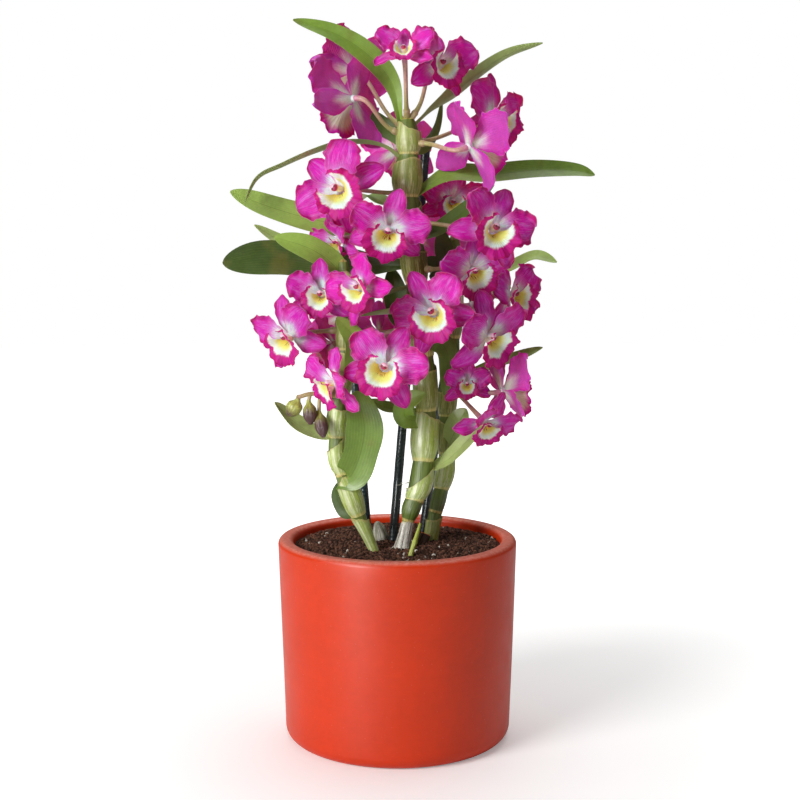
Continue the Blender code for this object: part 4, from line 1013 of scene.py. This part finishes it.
def petalFinish():
    look = flowerLook
    finish, w, into = newFinish("petalSkin", 0.5, Subsurface_Weight=look["translucent"],
                                Subsurface_Scale=0.004, Specular_IOR_Level=0.16)
    along, across, side, tone = w.allPainted()
    edge = w.maths("ABSOLUTE", across)
    lines = w.group(veins, Along=along, Across=across, Count=look["veinCount"], Wander=0.10, Seed=tone)
    rays = w.noise(w.vector(w.times(across, 3.4), w.times(along, 1.6), w.times(tone, 40.0)), 1.5, 4.0, 0.6)
    # white throat that runs out in rays along the middle, full colour towards the margin
    reach = w.timesPlus(w.minus(1.0, edge), -0.16, along)
    reach = w.plus(reach, w.times(w.minus(rays, 0.5), 0.28))
    reach = w.timesPlus(lines, 0.04, reach)
    own = w.noise(w.vector(w.times(tone, 23.0), 0.0, 0.0), 1.0, 1.0)
    reach = w.timesPlus(w.minus(own, 0.5), 0.45, reach)
    full = w.ease(reach, 0.15, 0.46)
    front = w.mix(w.ease(reach, 0.08, 0.30), look["base"], look["blush"])
    front = w.mix(full, front, look["petal"])
    # pale streaks along the rays: the petal's own streaks and painted sheen
    front = w.mix(w.ease(rays, 0.42, 0.72, 0.0, 0.5), front, look["light"])
    margin = w.times(w.ease(edge, 0.5, 0.95), w.ease(along, 0.25, 1.0, 0.25, 0.8))
    margin = w.maths("MAXIMUM", margin, w.ease(along, 0.84, 1.0, 0.0, 0.55))
    front = w.mix(margin, front, look["deep"])
    backShare = w.ease(w.timesPlus(edge, 0.2, reach), 0.0, 0.42)
    back = w.mix(backShare, look["backBase"], look["back"])
    back = w.mix(w.ease(edge, 0.6, 1.0, 0.0, 0.7), back, look["petal"])
    colour = w.mix(side, front, back)
    colour = w.mix(w.times(lines, w.span(full, 0.0, 1.0, 0.04, 0.13)), colour, look["vein"])
    rim = w.maths("MAXIMUM", w.ease(edge, 0.955, 0.995), w.ease(along, 0.975, 0.998))
    colour = w.mix(w.times(rim, 0.32), colour, look["rim"])
    value = w.span(tone, 0.0, 1.0, 0.84, 1.08)
    hue = w.span(tone, 0.0, 1.0, 0.490, 0.508)
    w.feed(into["Base Color"], blotched(w, colour, 110.0, 0.42, value, hue))
    softSkin(w, into, lines, cellScale=1700.0, cellDepth=0.4, gloss=(0.38, 0.55),
             foldScale=160.0, foldDepth=5.0, strength=0.42)
    return finish


def lipFinish():
    look = flowerLook
    finish, w, into = newFinish("lipSkin", 0.5, Subsurface_Weight=look["translucent"],
                                Subsurface_Scale=0.004, Specular_IOR_Level=0.2)
    along, across, side, tone = w.allPainted()
    edge = w.maths("ABSOLUTE", across)
    fringe = w.noise(w.vector(w.times(across, 14.0), w.times(along, 2.0),
                              w.times(tone, 30.0)), 1.6, 3.0, 0.7)
    blush = w.noise(w.vector(w.times(across, 2.0), along, w.times(tone, 50.0)), 2.2, 2.0)
    swing = w.minus(fringe, 0.5)
    ragged = w.timesPlus(swing, 0.13, along)
    ragged = w.timesPlus(w.minus(blush, 0.5), 0.26, ragged)
    border = w.ease(edge, 0.55, 0.95, 0.0, 0.14)
    margin = w.ease(w.minus(ragged, border), 0.64, 0.74)
    golden = w.span(tone, 0.0, 1.0, 0.50, 0.62)
    yellow = w.ease(w.minus(w.timesPlus(swing, 0.2, along), golden), 0.06, -0.20)
    front = w.mix(yellow, look["lipWhite"], look["lipYellow"])
    front = w.mix(w.ease(along, 0.40, 0.08), front, look["lipThroat"])
    marks = w.times(w.ease(fringe, 0.50, 0.58), w.ease(along, 0.34, 0.22))
    front = w.mix(w.times(marks, w.ease(edge, 0.5, 0.25)), front, look["lipMark"])
    lines = w.group(veins, Along=along, Across=across, Count=look["lipVeinCount"], Wander=0.05, Seed=tone)
    front = w.mix(margin, front, look["lipMargin"])
    front = w.mix(w.times(lines, w.ease(along, 0.6, 0.85, 0.0, 0.14)), front, look["vein"])
    front = w.mix(w.ease(along, 0.90, 1.0, 0.0, 0.5), front, look["deep"])
    back = w.mix(w.ease(ragged, 0.66, 0.95), look["lipBack"], look["petal"])
    back = w.mix(w.times(lines, 0.2), back, look["vein"])
    colour = w.mix(side, front, back)
    value = w.span(tone, 0.0, 1.0, 0.92, 1.04)
    w.feed(into["Base Color"], blotched(w, colour, 170.0, 0.2, value))
    softSkin(w, into, lines, cellScale=2100.0, cellDepth=0.5, gloss=(0.42, 0.6),
             foldScale=200.0, foldDepth=3.0, strength=0.32)
    return finish


def columnFinish():
    # "across" and "side" are shares of its radius to the right and up, "along" is 1 at the tip
    look = flowerLook
    finish, w, into = newFinish("columnSkin", 0.4, Subsurface_Weight=0.3, Subsurface_Scale=0.003)
    across, side, along = w.painted("across"), w.painted("side"), w.painted("along")
    wobble = w.times(w.minus(w.noise(w.place(), 700.0, 2.0), 0.5), 0.5)
    colour = w.mix(w.ease(along, 0.2, 0.9, 0.0, 0.5), look["column"], look["columnPink"])
    mouth = w.times(w.ease(w.plus(side, wobble), 0.28, 0.06), w.ease(along, 0.62, 0.78))
    colour = w.mix(mouth, colour, look["mouth"])
    # a dark eye on each side of the mouth
    toEye = w.vector(w.minus(w.maths("ABSOLUTE", across), 0.46), w.plus(side, 0.02), 0.0)
    far = w.put("ShaderNodeVectorMath", (0, toEye), out=1, operation="LENGTH")
    eyes = w.times(w.ease(far, 0.36, 0.22), w.ease(along, 0.72, 0.80))
    colour = w.mix(eyes, colour, look["eye"])
    w.feed(into["Base Color"], blotched(w, colour, 300.0, 0.2))
    w.feed(into["Normal"], w.bump(w.noise(w.place(), 900.0), 0.3, 0.0003))
    return finish


def stalkFinish():
    # "along" runs from the cane to the flower; tone 1 is the greener knob on the cane
    finish, w, into = newFinish("stalkSkin", 0.42)
    along = w.painted("along")
    colour = w.mix(w.ease(along, 0.05, 0.6), flowerLook["stalkGreen"], flowerLook["stalk"])
    colour = w.mix(w.ease(along, 0.8, 1.0, 0.0, 0.45), colour, flowerLook["back"])
    colour = w.mix(w.times(w.painted("tone"), 0.7), colour, flowerLook["stalkGreen"])
    specks = w.ease(w.noise(w.place(), 700.0, 2.0), 0.55, 0.75, 0.0, 0.4)
    colour = w.mix(specks, colour, flowerLook["speck"])
    w.feed(into["Base Color"], blotched(w, colour, 190.0, 0.4))
    grainyGloss(w, into, 400.0, 0.34, 0.5)
    w.feed(into["Normal"], w.bump(w.noise(w.place(), 800.0), 0.3, 0.0004))
    return finish


def facing(right, up, roll):
    # the flower's own axes as columns: across, above, and the way it looks
    a, e, r = (math.radians(k) for k in (right, up, roll))
    look = np.array([math.sin(a) * math.cos(e), -math.cos(a) * math.cos(e), math.sin(e)])
    across = unit(np.cross([0.0, 0.0, 1.0], look))
    above = np.cross(look, across)
    return np.stack([across * math.cos(r) + above * math.sin(r),
                     above * math.cos(r) - across * math.sin(r), look], axis=1)


stemRods = [(c.line, np.array([c.radius(z) for z in c.line[:, 2]])) for c in canes.values()]
stemRods += [(np.array(ends, float), np.full(2, stakeSizes["radius"])) for ends in stakeEnds.values()]


def bentClear(grid):
    # moves points of a petal straight out of any stem that they come too near
    points = grid.reshape(-1, 3).copy()
    for line, radii in stemRods:
        for first, last, radius in zip(line, line[1:], radii):
            run = last - first
            share = np.clip((points - first) @ run / run.dot(run), 0, 1)
            away = points - first - share[:, None] * run
            far = np.linalg.norm(away, axis=1)
            need = radius + flowerSizes["clearOfStems"]
            near = far < need
            points[near] += away[near] / far[near, None] * (need - far[near])[:, None]
    return points.reshape(grid.shape)


def tepalGrid(kind, scale, turn, length, rise, curl, phase):
    # a sepal or petal: the same surface as in the solids, with finer frills at its margin
    claw, peak, power, tip = kind["outline"]
    frill = kind["frill"]
    out = np.array([math.cos(turn), math.sin(turn), 0.0])
    over = np.array([-math.sin(turn), math.cos(turn), 0.0])
    front = np.array([0.0, 0.0, 1.0])
    s = (1 - (1 - np.linspace(0, 1, flowerSizes["tepalRows"])) ** 1.6)[:, None]
    t = np.linspace(-1, 1, flowerSizes["tepalColumns"])[None]
    start, bend = math.radians(rise), math.radians(-curl)
    angle = start + bend * s
    reach = length * (np.sin(angle) - math.sin(start)) / bend
    height = length * (math.cos(start) - np.cos(angle)) / bend
    widening = claw + (1 - claw) * np.sin(math.pi / 2 * np.minimum(s / peak, 1)) ** power
    closing = np.maximum(1 - np.maximum((s - peak) / (1 - peak), 0) ** 2, 0.004) ** tip
    width = kind["halfWidth"] * scale * widening * closing
    wave = kind["ruffle"] * s * np.abs(t) ** 1.5 * np.sin(9.5 * s + phase + 1.7 * t)
    fine = frill * s * np.abs(t) ** 3 * np.sin(27 * s + 2 * phase + np.sign(t) * 1.5)
    twist = 0.26 * width * t * s * np.sin(3 * phase) + 1.1 * s**3 * np.sin(5 * phase)
    crease = -0.30 * np.exp(-(t / 0.10) ** 2) * np.sin(math.pi * np.minimum(s * 1.1, 1))
    lift = (wave + fine + twist + crease + 0.10 * width * t * t)[..., None]
    notch = 0.05 * np.sin(21 * s + 3 * phase) + 0.03 * np.sin(43 * s + phase + 2 * np.sign(t))
    edge = (width * t * (1 + frill * notch * np.abs(t) ** 3))[..., None]
    middle = out * (1.2 + reach[..., None]) + front * (kind["layer"] + height[..., None])
    normal = front * np.cos(angle)[..., None] - out * np.sin(angle)[..., None]
    return middle + over * edge + normal * lift, s, t


def lipGrid(scale, phase):
    # the lip: a funnel open at the top, flaring to a frilled margin
    sizes = flowerSizes
    tilt = math.radians(sizes["lipTilt"])
    axis = np.array([0.0, -math.sin(tilt), math.cos(tilt)])
    down = np.array([0.0, -math.cos(tilt), -math.sin(tilt)])
    side = np.array([1.0, 0.0, 0.0])
    u = np.linspace(0, 1, sizes["lipRows"])[:, None]
    v = np.linspace(-1, 1, sizes["lipColumns"])[None]
    low, high = sizes["lipSweep"]
    turn = np.radians(low + (high - low) * u) * v
    depth = sizes["lipDepth"] * (1 - (1 - u) ** 1.6)
    flare = sizes["lipThroat"] + (sizes["lipMargin"] - sizes["lipThroat"]) * u**1.7
    flare = flare * (1 + 0.26 * u * np.cos(turn) + 0.07 * u * np.sin(turn) * math.sin(7 * phase))
    wave = 1.3 * u**2 * np.sin(5.2 * turn + phase)
    frill = 0.85 * u**4 * np.sin(13.5 * turn + 2 * phase) + 0.35 * u**5 * np.sin(31 * turn + phase)
    flare = flare + 0.75 * u**4 * np.sin(9.5 * turn + phase) + 0.45 * u**6 * np.sin(26 * turn + 3 * phase)
    point = (axis * (depth + wave + frill)[..., None]
             + (down * np.cos(turn)[..., None] + side * np.sin(turn)[..., None]) * flare[..., None])
    return (point + np.array([0.0, 0.2, 1.9])) * scale, u, v


def stubOf(name):
    cane, height, centre = flowerRows[name][:3]
    foot = canes[cane].at(height)
    way = np.array(centre, float) - foot
    level = unit(way * (1.0, 1.0, flowerSizes["stubRise"]))
    end = foot + level * (canes[cane].radius(height) + flowerSizes["stubReach"])
    return foot, end, level


def addColumn(shape, hub, turned, scale):
    # the hub that everything joins, and the column over the lip
    sizes = flowerSizes
    s = np.linspace(0, 1, 12)
    rise = sizes["hubLow"] - 0.8 + (sizes["hubHigh"] - sizes["hubLow"] + 1.2) * s
    local = np.stack([0 * s, 0 * s, rise], axis=1)
    bulge = np.maximum(np.sin(math.pi * np.clip(s, 0.06, 0.93)) ** 0.5, 0.3)
    addStem(shape, hub + local * scale @ turned.T, sizes["hubRadius"] * scale * bulge,
            sizes["columnTurns"], 2, along=0.0, tone=0.0)
    s = np.sin(np.linspace(0, math.pi / 2, 26))
    rise = 2.0 + (sizes["columnLength"] - 1.0) * s
    bow = np.stack([0 * s, 0.6 * s + 0.5 * np.sin(math.pi * s), rise], axis=1)
    dome = np.sqrt(np.maximum(1 - (np.maximum(s - 0.72, 0) / 0.28) ** 2, 0.0004))
    swell = ((0.85 + 0.28 * s) * dome)[:, None]
    turn = around(sizes["columnTurns"])[None]
    addStem(shape, hub + bow * scale @ turned.T, sizes["columnRadius"] * scale * swell,
            sizes["columnTurns"], 2, turned[:, 0],
            along=s[:, None], across=np.cos(turn) * swell, side=np.sin(turn) * swell)


def stalkPaths(name, hub, look):
    # the stalk behind a flower and the knob that it stands on, as paths for tubes
    sizes = flowerSizes
    foot, end, way = stubOf(name)
    rings = sizes["stalkRings"]
    reach = np.linalg.norm(hub - end) * 0.4
    near, far = end + way * reach, hub - look * (reach + 3)
    t = np.linspace(0, 0.97, rings)[:, None]
    path = end * (1 - t)**3 + near * 3 * t * (1 - t)**2 + far * 3 * t * t * (1 - t) + hub * t**3
    swell = 1.1 + 0.55 * np.linspace(0, 1, rings) ** 5 + 0.35 * np.exp(-np.arange(rings) / 1.2)
    knob = foot + (end - foot) * np.reshape(sizes["knobPlaces"], (-1, 1))
    return (path, sizes["stalkRadius"] * swell, 0.0), (knob, sizes["knobRadii"], 1.0)


def buildFlower(name, finishes):
    sizes = flowerSizes
    centre, right, up, roll, scale, opened = flowerRows[name][2:]
    chance = random.Random(name)
    turned = facing(right, up, roll)
    hub = np.array(centre, float)
    tone = random.Random(name + "tone").uniform(0, 1)
    shape = Shape()

    def sheet(grid, along, across, finish):
        grid = bentClear(hub + grid @ turned.T)
        addSheet(shape, grid, sizes["thick"], finish, along=along, across=across, tone=tone)

    for kind in tepalKinds:
        for turn in kind["turns"]:
            length = kind["length"] * scale * chance.uniform(*kind["stretch"])
            curl = chance.uniform(*kind["curl"])
            angle = math.radians(turn + chance.uniform(*kind["swing"]))
            rise = kind["rise"] + sizes["closedLift"] * (1 - opened) + chance.uniform(*kind["sway"])
            sheet(*tepalGrid(kind, scale, angle, length, rise, curl, chance.uniform(0, 6)), 0)
    lipScale = scale * (sizes["closedLip"] + (1 - sizes["closedLip"]) * opened)
    sheet(*lipGrid(lipScale, chance.uniform(0, 6)), 1)
    addColumn(shape, hub, turned, scale)
    handOver(shape.made(pieceName(name), finishes), "flower_magenta", name)
    return stalkPaths(name, hub, turned[:, 2])


def buildFlowers():
    finishes = [petalFinish(), lipFinish(), columnFinish()]
    stalks, knobs = zip(*[buildFlower(name, finishes) for name in flowerRows])
    skin = stalkFinish()
    handOver(tubesAlong("flowerStalks", stalks, skin, 14), "flower_magenta")
    handOver(tubesAlong("stalkKnobs", knobs, skin, 12), "cane_and_leaf")
    return skin


stalkSkin = buildFlowers()
print("flowers done")


# Buds, old bulb, young shoot, cut stump and root hairs.

# each bud: middle, the way it points, length, radius, and how ripe it is
budRows = {"cane": "left", "height": 223, "stalk": [(-44, -33, 223), (-52, -36, 224), (-60, -37, 222)],
           "rings": 24, "turns": 27, "places": (0, 0.15, 0.3, 0.65, 0.92, 1),
           "outline": (0.30, 0.35, 0.92, 1.0, 0.55, 0.12), "bow": (0.8, 0.0, 0.0),
           "knobPlaces": (0.3, 0.8, 0.95, 1.05), "knobRadii": (2.2, 2.0, 2.2, 1.5),
           "buds": [((-63, -36, 216), (-0.5, 0.1, -0.8), 12.0, 5.0, 0.05),
                    ((-53, -38, 213), (0.1, -0.3, -1.0), 15.0, 4.4, 0.75),
                    ((-46, -39, 206), (0.2, -0.4, -1.0), 17.0, 4.3, 0.9)]}
budLook = {"green": tint(190, 196, 96), "dark": tint(84, 50, 50), "rib": tint(136, 128, 70)}
shortRows = {
    "bulb": [(-10, 6, 112), (-10, 6, 122), (-11, 5, 128), (-12, 4, 133), (-13, 3, 137)],
    "bulbRadii": (3.0, 3.8, 4.6, 3.8, 1.4),
    "shoot": [(6, -41, 112), (8, -40, 125), (11, -37, 134), (14, -34, 144)],
    "shootRadii": (1.4, 1.6, 1.5, 0.6),
    "stump": [(13, -8, 112), (15, -6, 124), (18, -4, 131)],
    "stumpRadii": (3.2, 3.4, 3.0), "stumpCut": (2.2, 1.2), "turns": 30,
}
# root hairs; for each, the height on the cane where it starts and the way it sets out, in degrees
rootSizes = {"cane": "middle", "steps": 4, "stretch": (0.9, 1.9), "radii": (0.26, 0.10),
             "starts": ((167, 195), (166, 185), (160, 178), (158, 200), (163, 210), (127, 190),
                        (126, 300))}
shortLook = {"bulb": tint(252, 250, 238), "bulbStreak": tint(168, 168, 128),
             "footDark": tint(104, 84, 62), "shoot": tint(168, 188, 52),
             "shootPale": tint(206, 212, 110), "stump": tint(44, 30, 24), "stumpPale": tint(96, 66, 44),
             "cut": tint(232, 136, 88), "root": tint(214, 212, 196)}


def barkFinish(name, base, streak, roughness, count, accent=None):
    # round short stems: streaks up the stem, darker towards the foot, and an accent where tone is 1
    finish, w, into = newFinish(name, roughness)
    along = w.painted("along")
    lines = streaked(w, count, 1.6)
    colour = w.mix(lines, base, streak)
    towardsFoot = w.ease(w.plus(along, w.times(w.noise(w.place(), 200.0), 0.4)), 0.62, 0.45)
    colour = w.mix(w.times(towardsFoot, 0.55), colour, shortLook["footDark"])
    if accent:
        colour = w.mix(w.ease(w.painted("tone"), 0.3, 0.7), colour, accent)
    w.feed(into["Base Color"], blotched(w, colour, 140.0, 0.5))
    w.feed(into["Normal"], w.bump(w.plus(lines, w.noise(w.place(), 700.0)), 0.5, 0.0004))
    return finish


def budFinish():
    finish, w, into = newFinish("budSkin", 0.36, Specular_IOR_Level=0.5)
    ribs = streaked(w, 5.0, 1.5)
    # green above, purple-brown towards the tip, and sooner on the older ones
    ripe = w.timesPlus(w.painted("tone"), 0.5, w.painted("along"))
    colour = w.mix(w.times(ribs, 0.35), budLook["green"], budLook["rib"])
    colour = w.mix(w.ease(w.timesPlus(ribs, 0.12, ripe), 0.55, 1.1), colour, budLook["dark"])
    w.feed(into["Base Color"], blotched(w, colour, 160.0, 0.4))
    w.feed(into["Normal"], w.bump(ribs, 0.4, 0.0004))
    return finish


def buildBuds(skin):
    sizes = budRows
    cane = canes[sizes["cane"]]
    points = np.array(sizes["stalk"], float)
    foot = cane.at(sizes["height"])
    way = unit(points[0] - foot)
    end = foot + way * (cane.radius(sizes["height"]) + flowerSizes["stubReach"])
    line = [end, points[1], points[2]]
    joints = [points[2], points[1], (end + points[1]) / 2]
    shape = Shape()
    paths = [(splinePoints(line, 6), flowerSizes["stalkRadius"] * 1.15, 1.0)]
    for (centre, way, length, radius, tone), joint in zip(sizes["buds"], joints):
        middle, way = np.array(centre, float), unit(np.array(way, float)) * length
        s = np.linspace(0, 1, sizes["rings"])
        outline = np.interp(s, sizes["places"], sizes["outline"])
        outline = np.convolve(np.pad(outline, 2, "edge"), np.ones(5) / 5, "valid") * radius
        angle = around(sizes["turns"])
        folds = 1 + 0.07 * np.cos(3 * angle)[None] * s[:, None] + 0.02 * np.cos(9 * angle)[None]
        body = middle + way * (s[:, None] - 0.5)
        body = body + np.array(sizes["bow"]) * np.sin(math.pi * s)[:, None] * (1 - tone)
        addStem(shape, body, outline[:, None] * folds, sizes["turns"], along=s[:, None], tone=tone)
        stalk = [joint, joint * 0.5 + body[0] * 0.5 + (0, 0, 0.8), body[1]]
        paths.append((splinePoints(stalk, 4), flowerSizes["stalkRadius"], 1.0))
    handOver(shape.made("buds", [budFinish()]), "flower_bud", "bud_spray")
    knob = foot + (end - foot) * np.reshape(sizes["knobPlaces"], (-1, 1))
    paths.append((knob, sizes["knobRadii"], 1.0))
    handOver(tubesAlong("budStalk", paths, skin, 12), "flower_bud")


def shortStem(name, node, slot, finish, route, shapeOf, sunk=()):
    # a cut one ends in rings that sink into it, and has tone 1 there
    line = splinePoints(shortRows[route], 8)
    if sunk:
        line = np.vstack([line, line[-1:], line[-1:] - unit(line[-1] - line[-2]) * 0.5])
    s = np.linspace(0, 1, len(line))
    radii = shortRows[route + "Radii"]
    radius = np.interp(s, np.linspace(0, 1, len(radii)), radii)
    tone = np.zeros(len(line))
    if sunk:
        radius[-2:] = sunk
        tone[-3:] = 1.0
    turns = shortRows["turns"]
    shape = Shape()
    addStem(shape, line, radius[:, None] * shapeOf(s[:, None], around(turns)[None]), turns,
            along=s[:, None], tone=tone[:, None])
    handOver(shape.made(name, [finish]), slot, node)


def buildShortStems():
    look = shortLook
    shortStem("oldBulb", "old_bulb", "dry_bulb",
              barkFinish("driedBulb", look["bulb"], look["bulbStreak"], 0.6, 6.0), "bulb",
              lambda s, a: 1 + 0.07 * np.sin(7 * a + 3 * s) + 0.04 * np.sin(13 * a - 5 * s))
    shortStem("youngShoot", "young_shoot", "young_shoot",
              barkFinish("greenShoot", look["shoot"], look["shootPale"], 0.4, 4.0), "shoot",
              lambda s, a: 1 + 0.10 * np.cos(2 * a + 2 * s) * s + 0.25 * np.exp(-((s - 0.62) / 0.03) ** 2))
    shortStem("cutStump", "cut_stump", "dark_stump",
              barkFinish("stumpBark", look["stump"], look["stumpPale"], 0.85, 5.0, look["cut"]), "stump",
              lambda s, a: 1 + 0.06 * np.sin(6 * a) + 0.05 * np.sin(11 * a + 9 * s),
              shortRows["stumpCut"])


def buildRootHairs():
    # thin roots that feel their way out of the lower joints
    sizes = rootSizes
    cane = canes[sizes["cane"]]
    chance = random.Random(8)
    finish, w, into = newFinish("rootHair", 0.6)
    w.feed(into["Base Color"], blotched(w, shortLook["root"], 400.0, 0.3))
    paths = []
    for height, way in sizes["starts"]:
        out = np.array([math.cos(math.radians(way)), math.sin(math.radians(way)), 0.0])
        points = [cane.at(height) + out * cane.radius(height) * 0.9]
        for step in range(sizes["steps"]):
            jitter = np.array([chance.uniform(-1, 1), chance.uniform(-1, 1), chance.uniform(-1.2, 0.8)])
            points.append(points[-1] + out * chance.uniform(*sizes["stretch"]) + jitter * 0.8)
        line = splinePoints(points, 4)
        paths.append((line, np.linspace(*sizes["radii"], len(line)), 0.0))
    handOver(tubesAlong("rootHairs", paths, finish, 6), "cane_and_leaf")


buildBuds(stalkSkin)
buildShortStems()
buildRootHairs()
print("buds and short stems done")


# Floor, light and camera.

studio = {"floorRadius": 3.0, "floorTurns": 96, "white": tint(250, 250, 249), "ambient": 0.08,
          "glow": (0.25, 0.95), "camera": (0.0016, -0.930, 0.330), "pitch": 83.0, "lens": 67.05}
# watts, size, where it stands and what it looks at in metres, and whether it shows as gloss alone
studioLights = {
    "keyLight": (32.0, 1.0, (-1.30, -1.25, 0.95), (0.0, 0.0, 0.25), False),
    "fillLight": (2.0, 1.4, (1.5, -1.2, 0.7), (0.0, 0.0, 0.25), False),
    "topLight": (15.0, 1.6, (0.1, 0.5, 1.7), (0.0, 0.0, 0.25), False),
    "sheenLight": (14.0, 0.4, (-0.84, -1.21, 0.21), (0.0, 0.0, 0.08), True),
}


def buildFloor():
    finish, w, into = newFinish("paleFloor", 0.6, Emission_Strength=1.0)
    w.feed(into["Base Color"], blotched(w, studio["white"], 3.0, 0.01))
    distance = w.put("ShaderNodeVectorMath", (0, w.place()), out=1, operation="LENGTH")
    glow = w.times(w.ease(distance, 0.05, 0.8, *studio["glow"]), w.put("ShaderNodeLightPath"))
    w.feed(into["Emission Color"], w.put("ShaderNodeCombineColor", (0, glow), (1, glow), (2, glow)))
    turn = around(studio["floorTurns"])
    ring = np.stack([np.cos(turn), np.sin(turn), 0 * turn], axis=1) * studio["floorRadius"]
    mesh = bpy.data.meshes.new("floor")
    mesh.from_pydata(ring.tolist(), [], [list(range(len(ring)))])
    mesh.materials.append(finish)
    placed("floor", mesh)


def addLight(name, watts, size, at, aim, glossOnly):
    lamp = bpy.data.lights.new(name, "AREA")
    lamp.shape = "DISK"
    lamp.size = size
    lamp.energy = watts
    light = bpy.data.objects.new(name, lamp)
    light.location = at
    light.rotation_euler = (Vector(aim) - Vector(at)).to_track_quat("-Z", "Y").to_euler()
    light.visible_diffuse = not glossOnly
    bpy.context.scene.collection.objects.link(light)


def buildWorld():
    world = bpy.data.worlds.new("studio")
    world.use_nodes = True
    bpy.context.scene.world = world
    w = Wiring(world.node_tree)
    seen = w.put("ShaderNodeLightPath")
    back = world.node_tree.nodes["Background"]
    back.inputs["Color"].default_value = (1.0, 1.0, 1.0, 1.0)
    w.feed(back.inputs["Strength"], w.span(seen, 0.0, 1.0, studio["ambient"], 1.0))


def addCamera():
    lens = bpy.data.cameras.new("camera")
    lens.lens = studio["lens"]
    lens.sensor_width = 36.0
    camera = bpy.data.objects.new("camera", lens)
    camera.location = studio["camera"]
    camera.rotation_euler = (math.radians(studio["pitch"]), 0.0, 0.0)
    bpy.context.scene.collection.objects.link(camera)
    bpy.context.scene.camera = camera


buildFloor()
for lightName, lightRow in studioLights.items():
    addLight(lightName, *lightRow)
buildWorld()
addCamera()
print("studio done")
